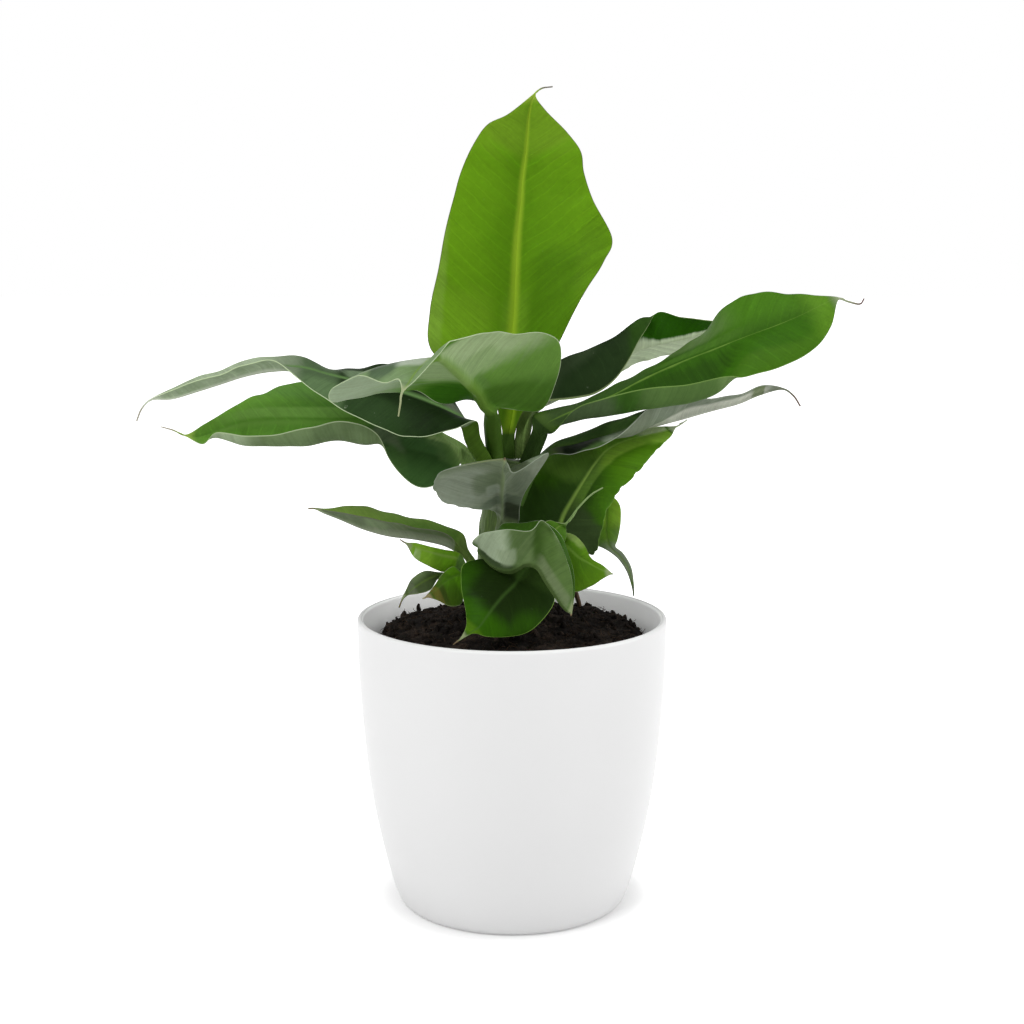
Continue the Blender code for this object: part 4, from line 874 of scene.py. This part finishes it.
def blade_row(leaf, index, along):
    """The five points across a row of the blade, and how thick its rib is."""
    rib, left, right, *middles = leaf.blade[index]
    rib, left, right = (np.array(point, float) for point in (rib, left, right))
    up = unit(np.cross(right - left, along))
    points = []
    for edge, middle in zip((left, right), (middles + [None, None])[:2]):
        bulge = (rib + edge) / 2 + DOME * np.linalg.norm(edge - rib) * up
        points.append(bulge if middle is None else np.array(middle, float))
    keel = RIB_START * leaf.half * (1 - index / len(leaf.blade)) + RIB_END
    return [left, points[0], rib, points[1], right], keel


def strand_row(nearest, rib, along, half, channel):
    """The five points across a stalk or a drip tip, a shallow channel level with the nearest blade row."""
    side = np.array(nearest[2], float) - np.array(nearest[1], float)
    side = unit(side - along * (side @ along))
    lift = np.cross(side, along) * half * channel
    left, right = rib - side * half + lift, rib + side * half + lift
    left_middle, right_middle = ((rib + edge) / 2 - lift * CHANNEL_ROUND for edge in (left, right))
    return [left, left_middle, rib, right_middle, right]


def leaf_rows(leaf):
    """Every cross-row of a leaf, stalk to drip tip: left edge, left middle, rib, right middle, right
    edge. With it, how thick the rib is there, and the row's reach: below 0 on the stalk, 0 to 1 on the
    blade, up to 2 on the drip tip."""
    ribs = np.array(leaf.stalk + [row[0] for row in leaf.blade] + leaf.tail, float)
    along = unit(np.gradient(ribs, axis=0))
    rows, keels, reaches = [], [], []
    for index, rib in enumerate(ribs):
        spot = index - len(leaf.stalk)
        past = spot - len(leaf.blade) + 1
        if spot < 0:
            row, keel = strand_row(leaf.blade[0], rib, along[index], leaf.half, CHANNEL), leaf.half
            reach = spot / len(leaf.stalk)
        elif past <= 0:
            row, keel = blade_row(leaf, spot, along[index])
            reach = spot / (len(leaf.blade) - 1)
        else:
            reach = 1 + past / len(leaf.tail)
            half = TAIL_HALF * (TAIL_TAPER[0] + (TAIL_TAPER[1] - TAIL_TAPER[0]) * (reach - 1))
            row, keel = strand_row(leaf.blade[-1], rib, along[index], half, TAIL_CHANNEL), half
        rows.append(row)
        keels.append(keel)
        reaches.append(reach)
    return np.array(rows), np.array(keels), np.array(reaches)


def across(rib, middle, edge, share):
    """Points on a half-blade at every station: share runs from 0 at the rib to 1 at the edge."""
    rib, middle, edge = (points[:, None] for points in (rib, middle, edge))
    pull = 2 * middle - (rib + edge) / 2
    return (1 - share)**2 * rib + 2 * share * (1 - share) * pull + share**2 * edge


def waves(draw, along, lengths):
    """A smooth random wave along a leaf's edge, between about -1 and 1."""
    return sum(np.sin(2 * math.pi * (along / length + draw.uniform())) for length in lengths) / len(lengths)


def leaf_mesh(name, leaf, look, ripple):
    """A leaf as one closed loft: an upper skin with its channel, a lower skin with its keel, and rims.
    Its attributes place the veins, the rib and the margin for the material."""
    rows, keels, reaches = leaf_rows(leaf)
    steps = np.linalg.norm(np.diff(rows, axis=0), axis=2).mean(axis=1)
    knots = np.concatenate([[0], np.cumsum(np.sqrt(steps))])
    stations = int(np.clip(steps.sum() / STATION_STEP, *STATION_RANGE))
    places = np.linspace(0, knots[-1], stations)
    left, left_middle, rib, right_middle, right = np.moveaxis(through(rows, knots, places), 1, 0)
    keel = np.interp(places, knots, keels)
    reach = np.interp(places, knots, reaches)
    along = lengths_to(rib)
    along -= np.interp(0, reach, along)
    blade = np.clip(np.sin(math.pi * np.clip(reach, 0, 1)) * WAVE_RAMP, 0, 1)

    shares = np.sort(np.append((np.arange(1, HALF_COLUMNS + 1) / HALF_COLUMNS)**SHARE_POWER, RIM_SHARES[1]))
    draw = np.random.default_rng(look.seed)
    halves = []
    for middle, edge, nick in ((left_middle, left, look.nick[0]), (right_middle, right, look.nick[1])):
        width = np.linalg.norm(edge - rib, axis=1)
        nick = nick * blade * np.clip(waves(draw, along, NICK_WAVES) + NICK_LEVEL, 0, 1)
        share = shares * (1 - nick[:, None] * shares**NICK_POWER)
        sway = ripple * look.ripple * blade * np.minimum(1, width / RIPPLE_WIDTH)
        sway = sway[:, None] * shares**RIPPLE_POWER * waves(draw, along, RIPPLE_WAVES)[:, None]
        halves.append((across(rib, middle, edge, share[..., None]), width[:, None] * shares, sway))
    (left_grid, left_aside, left_sway), (right_grid, right_aside, right_sway) = halves
    none = np.zeros((stations, 1))
    surface = np.concatenate([left_grid[:, ::-1], rib[:, None], right_grid], axis=1)
    aside = np.concatenate([-left_aside[:, ::-1], none, right_aside], axis=1)
    sway = np.concatenate([left_sway[:, ::-1], none, right_sway], axis=1)
    edge_share = np.concatenate([shares[::-1], [0], shares])

    def upwards(grid):
        return unit(np.cross(np.gradient(grid, axis=1), np.gradient(grid, axis=0)))

    surface = surface + upwards(surface) * sway[..., None]
    normals = upwards(surface)

    beside = np.abs(aside) / keel[:, None]
    thin = np.interp(edge_share, RIM_SHARES, RIM_THICKNESS) * BLADE / 2
    channel = GROOVE * keel * np.clip(reach * 6, 0, 1) * np.clip(1.2 - reach, 0, 1)
    above = thin - channel[:, None] * np.exp(-(beside / GROOVE_WIDTH)**2)
    below = thin + keel[:, None] * (0.5 + 0.5 * np.cos(math.pi * np.clip(beside / KEEL_WIDTH, 0, 1)))
    skins = np.stack([surface + normals * above[..., None], surface - normals * below[..., None]])

    columns = surface.shape[1]
    number = np.arange(2 * stations * columns).reshape(2, stations, columns)
    up, low = number
    quads = [np.stack([up[:-1, :-1], up[:-1, 1:], up[1:, 1:], up[1:, :-1]], axis=-1),
             np.stack([low[:-1, :-1], low[1:, :-1], low[1:, 1:], low[:-1, 1:]], axis=-1),
             np.stack([up[:-1, 0], up[1:, 0], low[1:, 0], low[:-1, 0]], axis=-1),
             np.stack([up[:-1, -1], low[:-1, -1], low[1:, -1], up[1:, -1]], axis=-1),
             np.stack([up[0, :-1], low[0, :-1], low[0, 1:], up[0, 1:]], axis=-1),
             np.stack([up[-1, :-1], up[-1, 1:], low[-1, 1:], low[-1, :-1]], axis=-1)]
    mesh = make_mesh(name, skins.reshape(-1, 3), np.concatenate([q.reshape(-1, 4) for q in quads]).tolist(),
                     sharp=SHARP)
    away = np.abs(aside)
    margin = np.where(aside < 0, away[:, :1], away[:, -1:]) - away
    vein = along[:, None] - VEIN_SLANT * away - VEIN_BEND * away**2
    for label, values in (("vein", vein), ("aside", aside), ("margin", margin), ("beside", beside),
                          ("reach", np.broadcast_to(reach[:, None], aside.shape))):
        store(mesh, label, np.stack([values, values]))
    store(mesh, "under", np.stack([np.zeros_like(aside), np.ones_like(aside)]))
    return mesh


# Stems

def stem_mesh(name, stem, material, sheath):
    """A stem wrapped in leaf sheaths, swept along its path by Geometry Nodes."""
    tree = Builder("swept " + name, material, {"Sheath": sheath * MM, "Sides": STEM_SIDES,
                                               "Step": STEM_STEP * MM})
    line = tree.node("GeometryNodeMeshToCurve", {"Mesh": tree.given()})
    line = tree.node("GeometryNodeResampleCurve", {"Curve": line, "Length": tree.given("Step")}, mode="LENGTH")
    line = tree.keep(line, "along", tree.node("GeometryNodeSplineParameter", output="Length"))
    ring = tree.keep(tree.circle(tree.given("Sides")), "around",
                     tree.node("GeometryNodeSplineParameter", output="Factor"))
    made = tree.swept(line, ring, tree.named("girth"))
    around, along = tree.named("around"), tree.named("along")
    # Two sets of sheaths that wind round the stem in opposite ways, each rising slowly to a sharp edge
    outer = tree.math("FRACT", (around + along * 9) * 2) ** 3
    inner = tree.math("FRACT", around * -3 + along * 5 + 0.3) ** 6
    made = tree.moved(made, offset=tree.scaled(tree.node("GeometryNodeInputNormal"),
                                               (outer + inner) * tree.given("Sheath")))
    path = even_curve(np.column_stack([stem.path, stem.radii]), STEM_POINTS)
    source = polyline(name, path[:, :3])
    store(source, "girth", path[:, 3] * MM)
    return tree.mesh(made, source, name)


# Soil litter

def upper_faces(mesh, height):
    """A mesh of only the faces above a height in millimetres."""
    points = np.array([tuple(vertex.co) for vertex in mesh.vertices]) / MM
    faces = [tuple(face.vertices) for face in mesh.polygons if face.center.z > height * MM]
    return make_mesh("ground", points, faces)


def crumb_mesh(name, ground, material, density):
    """Lumps of peat scattered over the ground."""
    tree = Builder("scattered crumbs", material, {
        "Density": density, "Size": CRUMB_SIZE * MM, "Seed": CRUMB_SEED})
    lump = tree.node("GeometryNodeMeshIcoSphere", {"Radius": 1.0, "Subdivisions": 2})
    lump = tree.moved(lump, offset=tree.scaled(tree.node("ShaderNodeTexNoise", {"Scale": 1.3}, "Color"), 0.5))
    turn = tree.random((0, 0, 0), (TURN, TURN, TURN), 1)
    grow = tree.random(*CRUMB_SHARES, 2)
    squash = tree.random(*CRUMB_SQUASH, 3)
    made = tree.scattered(lump, turn, tree.scaled(squash, grow * grow * tree.given("Size")))
    made = tree.bent(made, 900.0, 2.0, (0.5, 0.5, 0.5), tree.given("Size") * 0.5)
    return tree.mesh(made, ground, name)


def fibre_mesh(name, ground, material, density):
    """Short bent fibres scattered over the ground."""
    tree = Builder("scattered fibres", material, {
        "Density": density, "Length": FIBRE_LENGTH * MM, "Thickness": FIBRE_RADIUS * MM, "Seed": FIBRE_SEED})
    line = tree.node("GeometryNodeCurvePrimitiveLine", {"Start": (-0.5, 0, 0), "End": (0.5, 0, 0)})
    line = tree.node("GeometryNodeResampleCurve", {"Curve": line, "Count": FIBRE_POINTS})
    turn = tree.random((0, -FIBRE_TILT, 0), (0, FIBRE_TILT, TURN), 1)
    size = tree.random(*FIBRE_SHARES, 2) * tree.given("Length")
    made = tree.scattered(line, turn, tree.vector(size, size, size))
    made = tree.bent(made, 160.0, 1.0, (0.5, 0.5, 0.45), tree.given("Length") * 0.7)
    return tree.mesh(tree.swept(made, tree.circle(3), tree.given("Thickness")), ground, name)


# Finishes: a noise takes its scale, in cells a metre, its detail and its roughness, and a relief its
# depth in millimetres

def planter_finish(settings):
    """Satin moulded plastic, painted lighter and glowing above the soil: painted light for the light the wall
    throws on itself.
    """
    finish = Finish("planter plastic")
    grain = finish.noise(finish.place, 1400, 2)
    cloud = finish.smooth(finish.noise(finish.place, 9, 2), 0.3, 0.7)
    color = finish.mix(cloud, settings.color, [c * PLASTIC_CLOUD for c in settings.color])
    x, y, height = finish.parts(finish.place)
    radius = finish.math("SQRT", x * x + y ** 2)
    # Painted light: above the soil the wall takes a lighter colour and a faint glow
    inside = (finish.smooth(height, *(level * MM for level in PAINTED_LIGHT_HEIGHTS))
              * (1 - finish.smooth(radius, *(place * MM for place in PAINTED_LIGHT_RADII))))
    return finish.surface({"Base Color": finish.mix(inside, color, settings.inside),
                           "Roughness": settings.roughness + (grain - 0.5) * 0.1,
                           "Emission Color": finish.scaled([PAINTED_GLOW] * 3, inside), "Emission Strength": 1.0,
                           "Normal": finish.bump(grain, 0.012), "Specular IOR Level": 0.4})


def nursery_finish():
    """Black pot plastic with peat dust on it."""
    finish = Finish("nursery pot plastic")
    grain = finish.noise(finish.place, 600, 3)
    dust = finish.smooth(finish.noise(finish.place, 60, 4), 0.45, 0.75)
    return finish.surface({"Base Color": finish.mix(dust, (0.02, 0.02, 0.02), (0.05, 0.045, 0.04)),
                           "Roughness": 0.4 + dust * 0.3, "Normal": finish.bump(grain, 0.03)})


def peat_finish(name, dark, light, scale):
    """Peat from dark to light, in lumps of a scale, with broad wetter places."""
    finish = Finish(name)
    lumps = finish.noise(finish.place, scale, 6, 0.7)
    grains = finish.noise(finish.place, scale * 6, 3, 0.6)
    broad = finish.smooth(finish.noise(finish.place, scale * 0.35, 3), 0.42, 0.66)
    dry = finish.smooth(lumps * 0.6 + grains * 0.4, 0.38, 0.68) * (0.25 + broad * 0.75)
    return finish.surface({"Base Color": finish.mix(dry, dark, light), "Roughness": 0.93,
                           "Specular IOR Level": 0.15, "Normal": finish.bump(lumps * 0.5 + grains * 0.5, 0.8)})


def stem_finish(name, color, pale, dark):
    """A stem's sheaths, with fibres along it and dark blotches."""
    finish = Finish(name)
    around, along = finish.attribute("around"), finish.attribute("along")
    fibre = finish.noise(finish.vector(around * 30, along * 25, 0), 2.2, 3, 0.6)
    cloud = finish.noise(finish.place, 60, 3)
    tint = finish.mix(finish.smooth(fibre, 0.35, 0.7), color, pale)
    tint = finish.mix(finish.smooth(cloud, 0.5, 0.75), tint, dark)
    return finish.surface({"Base Color": tint, "Roughness": 0.42 + fibre * 0.2, "Specular IOR Level": 0.3,
                           "Normal": finish.bump(fibre, 0.25)}, pale, 0.1)


def leaf_finish(name, look, vein_depth):
    """A leaf's upper and lower skins, veined along its own attributes."""
    finish = Finish(name)
    vein, aside, margin, beside, reach, under = (
        finish.attribute(label) for label in ("vein", "aside", "margin", "beside", "reach", "under"))
    away = finish.math("ABSOLUTE", aside)
    blade = finish.smooth(reach, -0.02, 0.06)
    wander = finish.noise(finish.place, *WANDER) - 0.5
    threads = finish.noise(finish.vector(vein, away * 0.03, look.seed), *THREADS)
    bands = finish.noise(finish.vector(vein, away * 0.05, look.seed + 9), *BANDS)
    ribs = finish.math("SINE", vein * (2 * math.pi / VEIN_SPACING) + wander * 5)
    ribs = finish.smooth(ribs, 0.86, 1.0) * blade * finish.smooth(margin, 0.5, 5)
    cloud = finish.noise(finish.place, *CLOUDS)
    mottle = finish.noise(finish.place, *MOTTLE)
    flecks = finish.smooth(finish.noise(finish.place, *FLECKS), 0.68, 0.76)

    # The two sides, as they age from base to tip and from rib to margin
    outward = away / (away + margin + 0.01)
    age = finish.smooth(reach * 0.5 + outward * 0.4 + (cloud - 0.5) * 0.9, 0.1, 0.75)
    streaks = (finish.smooth(threads, 0.35, 0.75) * 0.22 + finish.smooth(bands, 0.42, 0.7) * 0.16
               + finish.smooth(cloud, 0.5, 0.72) * 0.25)
    top = finish.scaled(finish.mix(streaks, finish.mix(age, look.top, look.far), look.deep), 1 + ribs * 0.13)
    # The underside's pale bands are its wax bloom with painted sheen on it
    low = finish.mix(finish.smooth(bands * 0.4 + cloud * 0.6, 0.42, 0.62) * look.wax, look.under, look.bloom)
    low = finish.mix(finish.smooth(threads, 0.4, 0.75) * 0.3, low, look.under_deep)
    color = finish.mix(under, top, finish.scaled(low, 1 + ribs * 0.14))

    # Their zones of painted light and shade and of another tone, as boxes with round corners and a ragged edge
    rag = (cloud - 0.5) * RAG_CLOUD + (bands - 0.5) * RAG_BANDS + (threads - 0.5) * RAG_THREADS
    for side, rows in ((1 - under, look.top_zones), (under, look.low_zones)):
        for zone in (Zone(*row) for row in rows):
            apart = (((reach - zone.reach) / zone.length) ** ZONE_POWER
                     + ((aside - zone.aside) / zone.width) ** ZONE_POWER) ** (1 / ZONE_POWER)
            inside = 1 - finish.smooth(apart + rag * zone.soft, 1 - zone.soft, 1 + zone.soft)
            color = finish.mix(inside * side * zone.strength, color, zone.color)
    color = finish.scaled(color, TONE + threads * TONE_THREADS + bands * TONE_BANDS + mottle * TONE_MOTTLE)

    # The rib and the stalk, the margin, the drip tip and the flecks
    middle = 1 - finish.smooth(beside + wander * 0.3, 0, look.rib_width * 1.4)
    stalk_color = finish.scaled(look.stalk, 0.55 + threads * 0.9)
    middle_color = finish.mix(blade, stalk_color, finish.mix(under, look.rib, look.keel))
    color = finish.mix(finish.largest(middle * look.rib_strength, 1 - blade), color, middle_color)
    edge = 1 - finish.smooth(margin, look.edge_width * 0.4, look.edge_width)
    color = finish.mix(edge * blade * look.edge_strength, color, look.edge)
    color = finish.mix(finish.smooth(reach, 1.08, 1.3), color, look.tail)
    color = finish.mix(finish.smooth(reach, 1.4, 1.8), color, look.tail_end)
    color = finish.mix(flecks * look.flecks, color, look.bloom)
    rough = look.rough + (threads - 0.5) * 0.15 + (cloud - 0.5) * 0.2 + under * UNDER_ROUGHNESS
    return finish.surface({"Base Color": color, "Roughness": rough, "Specular IOR Level": look.shine,
                           "Normal": finish.bump(threads * 0.5 + ribs * 0.3 + bands * 0.5, vein_depth)},
                          LEAF_GLOW, look.through)


def floor_finish():
    """A matt floor that keeps a shadow near the planter and is as white as the world beyond it."""
    finish = Finish("floor")
    radius = finish.node("ShaderNodeVectorMath", {0: finish.place}, "Value", operation="LENGTH")
    white = finish.smooth(radius, *FLOOR_FADE)
    path = finish.node("ShaderNodeLightPath", output="Is Camera Ray")
    seen = finish.largest(path, path.output("Is Glossy Ray"), path.output("Is Transmission Ray"))
    glow = finish.node("ShaderNodeEmission", {
        "Color": (1, 1, 1), "Strength": seen * (FLOOR_GLOW + white * (1 - FLOOR_GLOW))})
    color = finish.mix(finish.noise(finish.place, 300, 2), (0.69, 0.69, 0.69), (0.71, 0.71, 0.71))
    matt = finish.node("ShaderNodeBsdfDiffuse", {"Color": color})
    both = finish.node("ShaderNodeAddShader", {0: glow, 1: matt})
    finish.node("ShaderNodeOutputMaterial", {"Surface": both})
    return finish.material


def studio_world(ambient):
    """White where it is seen directly, with a dim ceiling for glossy surfaces, and ambient as light."""
    world = bpy.data.worlds.new("studio")
    world.use_nodes = True
    world.node_tree.nodes.clear()
    sky = Graph(world.node_tree)
    path = sky.node("ShaderNodeLightPath", output="Is Camera Ray")
    clear = sky.largest(path, path.output("Is Transmission Ray"))
    glossy = path.output("Is Glossy Ray")
    height = sky.parts(sky.node("ShaderNodeTexCoord"))[2]
    mirrored = CEILING + (1 - CEILING) * (1 - sky.smooth(height, *CEILING_EDGE))
    strength = clear + glossy * mirrored + (1 - sky.largest(clear, glossy)) * ambient
    light = sky.node("ShaderNodeBackground", {"Color": (1, 1, 1), "Strength": strength})
    sky.node("ShaderNodeOutputWorld", {"Surface": light})
    return world


# Settings

def color_setting(name, description, default):
    return FloatVectorProperty(name=name, description=description, subtype="COLOR", size=3, min=0, max=1,
                               default=default)


def size_setting(name, description, default):
    return FloatProperty(name=name, description=description, default=default, min=0)


class BananaPlanterSettings(bpy.types.PropertyGroup):
    color: color_setting("Colour", "Colour of the planter's plastic", (0.825, 0.825, 0.825))
    # The inside colour is painted light: lighter than the plastic, where the wall above the soil throws light
    # on itself
    inside: color_setting("Inside", "Colour of its wall above the soil", (0.93, 0.93, 0.93))
    roughness: FloatProperty(name="Roughness", description="How satin the plastic is", subtype="FACTOR",
                             default=0.42, min=0, max=1)
    steps: IntProperty(name="Steps", description="Steps round the planter", default=PLANTER_STEPS, min=16)


class BananaSoilSettings(bpy.types.PropertyGroup):
    dark: color_setting("Dark", "Colour of the wet peat", (0.004, 0.003, 0.0025))
    light: color_setting("Light", "Colour of the drier crumbs", (0.06, 0.041, 0.03))
    fibre: color_setting("Fibre", "Colour of the fibres", (0.12, 0.075, 0.045))
    relief: size_setting("Relief", "Height of the soil's lumps, in millimetres", 4.6)
    crumbs: size_setting("Crumbs", "Crumbs in each square metre", 34000)
    fibres: size_setting("Fibres", "Fibres in each square metre", 26000)


class BananaStemSettings(bpy.types.PropertyGroup):
    color: color_setting("Colour", "Colour of the stems", (0.06, 0.11, 0.02))
    pale: color_setting("Pale", "Colour of their pale fibres", (0.14, 0.22, 0.05))
    dark: color_setting("Dark", "Colour of their dark blotches", (0.025, 0.045, 0.01))
    sheath: size_setting("Sheath", "How far a leaf sheath's edge stands out, in millimetres", 0.7)


class BananaLeafSettings(bpy.types.PropertyGroup):
    ripple: size_setting("Ripple", "How far a margin waves, in millimetres", 1.0)
    vein_depth: size_setting("Vein depth", "Relief of the veins, in millimetres", 0.14)


# One colour for each leaf's upper side, for some leaves darkened as painted shade and for one lightened as
# painted light
BananaLeafColors = type("BananaLeafColors", (bpy.types.PropertyGroup,), {"__annotations__": {
    name: color_setting(name.replace("_", " ").capitalize(), "Colour of the leaf's upper side", look.top)
    for name, look in LOOKS.items()}})


class BananaStageSettings(bpy.types.PropertyGroup):
    lens: FloatProperty(name="Lens", description="Focal length of the camera, in millimetres",
                        default=LENS, min=1)
    ambient: size_setting("Ambient", "Light from all round, where 1 is full level", AMBIENT)


class BananaSettings(bpy.types.PropertyGroup):
    planter: PointerProperty(name="Planter", type=BananaPlanterSettings)
    soil: PointerProperty(name="Soil", type=BananaSoilSettings)
    stems: PointerProperty(name="Stems", type=BananaStemSettings)
    leaves: PointerProperty(name="Leaves", type=BananaLeafSettings)
    leaf_colors: PointerProperty(name="Leaf colours", type=BananaLeafColors)
    stage: PointerProperty(name="Stage", type=BananaStageSettings)


# Operators

class BananaOperator:
    bl_options = {"REGISTER", "UNDO"}

    def execute(self, context):
        self.build(context.scene.banana)
        return {"FINISHED"}


class BANANA_OT_planter(BananaOperator, bpy.types.Operator):
    """Build the white planter"""
    bl_idname = "banana.planter"
    bl_label = "Planter"

    def build(self, settings):
        lip = PLANTER_WALL / 2
        outer = even_curve(PLANTER_SIDE + [(RIM_RADIUS, PLANTER_HEIGHT - 2 * lip)], PLANTER_ROWS)
        inner = outer[outer[:, 1] > 2 * FLOOR][::-1] - [PLANTER_WALL, 0]
        rim = arc((RIM_RADIUS - lip, PLANTER_HEIGHT - lip), lip, RIM_STEPS)
        profile = np.concatenate([PLANTER_FOOT, outer, rim, inner, PLANTER_FLOOR])
        finish = planter_finish(settings.planter)
        add_piece("planter_shell", turned_piece("planter_shell", profile, finish, settings.planter.steps),
                  finish, "planter")


class BANANA_OT_nursery_pot(BananaOperator, bpy.types.Operator):
    """Give the nursery pot its finish"""
    bl_idname = "banana.nursery_pot"
    bl_label = "Nursery pot"

    def build(self, settings):
        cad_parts["nursery_pot"].data.materials[0] = nursery_finish()


class BANANA_OT_soil(BananaOperator, bpy.types.Operator):
    """Build the soil, its crumbs and its fibres"""
    bl_idname = "banana.soil"
    bl_label = "Soil"

    def build(self, settings):
        soil = settings.soil
        peat = peat_finish("peat", soil.dark, soil.light, PEAT_LUMPS)
        ground = turned_piece("soil_heap", np.concatenate([SOIL_FOOT, even_curve(SOIL_HEAP, SOIL_ROWS)]), peat,
                              SOIL_STEPS, soil.relief, SOIL_LUMP, RELIEF_FROM)
        add_piece("soil_heap", ground, peat, "potting_soil")
        surface = upper_faces(ground, LITTER_FROM)
        add_piece("soil_crumbs", crumb_mesh("soil_crumbs", surface, peat, soil.crumbs), peat,
                  slot="potting_soil")
        fibre = peat_finish("peat fibre", [c * FIBRE_DARK for c in soil.fibre], soil.fibre, FIBRE_LUMPS)
        add_piece("soil_fibres", fibre_mesh("soil_fibres", surface, fibre, soil.fibres), fibre,
                  slot="potting_soil")


class BANANA_OT_stems(BananaOperator, bpy.types.Operator):
    """Build the pseudostem, the shoots at its foot and the withered stalk"""
    bl_idname = "banana.stems"
    bl_label = "Stems"

    def build(self, settings):
        stems = settings.stems
        green = stem_finish("stem", stems.color, stems.pale, stems.dark)
        dry = stem_finish("withered stalk", *WITHERED)
        for name, stem in STEMS.items():
            finish = dry if name == "dry_stalk" else green
            sheath = stems.sheath * stem.radii[-1] / SHEATH_RADIUS
            add_piece(name + "_skin", stem_mesh(name + "_skin", stem, finish, sheath), finish, name)


def build_leaves(settings, wanted):
    for name, leaf in LEAVES.items():
        if wanted(leaf):
            look = LOOKS[name]._replace(top=tuple(getattr(settings.leaf_colors, name)))
            finish = leaf_finish(name.replace("_", " "), look, settings.leaves.vein_depth)
            mesh = leaf_mesh(name + "_blade", leaf, look, settings.leaves.ripple)
            add_piece(name + "_blade", mesh, finish, name)


class BANANA_OT_upper_leaves(BananaOperator, bpy.types.Operator):
    """Build the leaves of the main stem"""
    bl_idname = "banana.upper_leaves"
    bl_label = "Upper leaves"

    def build(self, settings):
        build_leaves(settings, lambda leaf: leaf.stem == "pseudostem")


class BANANA_OT_lower_leaves(BananaOperator, bpy.types.Operator):
    """Build the leaves of the shoots"""
    bl_idname = "banana.lower_leaves"
    bl_label = "Lower leaves"

    def build(self, settings):
        build_leaves(settings, lambda leaf: leaf.stem != "pseudostem")


class BANANA_OT_stage(BananaOperator, bpy.types.Operator):
    """Set up the floor, the lights, the world and the camera"""
    bl_idname = "banana.stage"
    bl_label = "Stage"

    def build(self, settings):
        corners = [(x * FLOOR_HALF, y * FLOOR_HALF, FLOOR_DROP)
                   for x, y in ((-1, -1), (1, -1), (1, 1), (-1, 1))]
        floor = make_mesh("floor", corners, [(0, 1, 2, 3)])
        floor.materials.append(floor_finish())
        add_object("floor", floor)

        scene = bpy.context.scene
        scene.world = studio_world(settings.stage.ambient)
        for name, place, size, level in LAMPS:
            lamp = bpy.data.lights.new(name, "AREA")
            lamp.shape, lamp.size, lamp.size_y = "RECTANGLE", *size
            away = Vector(LIGHT_AIM) - Vector(place)
            lamp.energy = level * math.pi**2 * away.length_squared
            holder = add_object(name, lamp)
            holder.location = place
            holder.rotation_euler = away.to_track_quat("-Z", "Y").to_euler()

        camera = bpy.data.cameras.new("camera")
        camera.lens, camera.sensor_width = settings.stage.lens, SENSOR
        camera.clip_start, camera.clip_end = CLIP
        eye = add_object("camera", camera)
        eye.location = CAMERA_PLACE
        eye.rotation_euler = (math.radians(CAMERA_TILT), 0, 0)
        scene.camera = eye
        scene.view_settings.view_transform = "Standard"


OPERATORS = (BANANA_OT_planter, BANANA_OT_nursery_pot, BANANA_OT_soil, BANANA_OT_stems,
             BANANA_OT_upper_leaves, BANANA_OT_lower_leaves, BANANA_OT_stage)


class BANANA_PT_panel(bpy.types.Panel):
    """Builds the plant piece by piece"""
    bl_idname = "BANANA_PT_panel"
    bl_label = "Potted dwarf banana"
    bl_space_type = "VIEW_3D"
    bl_region_type = "UI"
    bl_category = "Banana"

    def draw(self, context):
        layout = self.layout
        for operator in OPERATORS:
            layout.operator(operator.bl_idname)
        for group in BananaSettings.__annotations__:
            settings = getattr(context.scene.banana, group)
            box = layout.box()
            box.label(text=group.replace("_", " ").capitalize())
            for name in settings.__annotations__:
                box.prop(settings, name)


CLASSES = (BananaPlanterSettings, BananaSoilSettings, BananaStemSettings, BananaLeafSettings,
           BananaLeafColors, BananaStageSettings, BananaSettings, *OPERATORS, BANANA_PT_panel)


def register():
    for item in CLASSES:
        bpy.utils.register_class(item)
    bpy.types.Scene.banana = PointerProperty(type=BananaSettings)


def unregister():
    del bpy.types.Scene.banana
    for item in reversed(CLASSES):
        bpy.utils.unregister_class(item)


def main():
    register()
    for operator in OPERATORS:
        getattr(bpy.ops.banana, operator.bl_idname.split(".")[1])()
    bpy.context.view_layer.update()


if __name__ == "__main__":
    main()
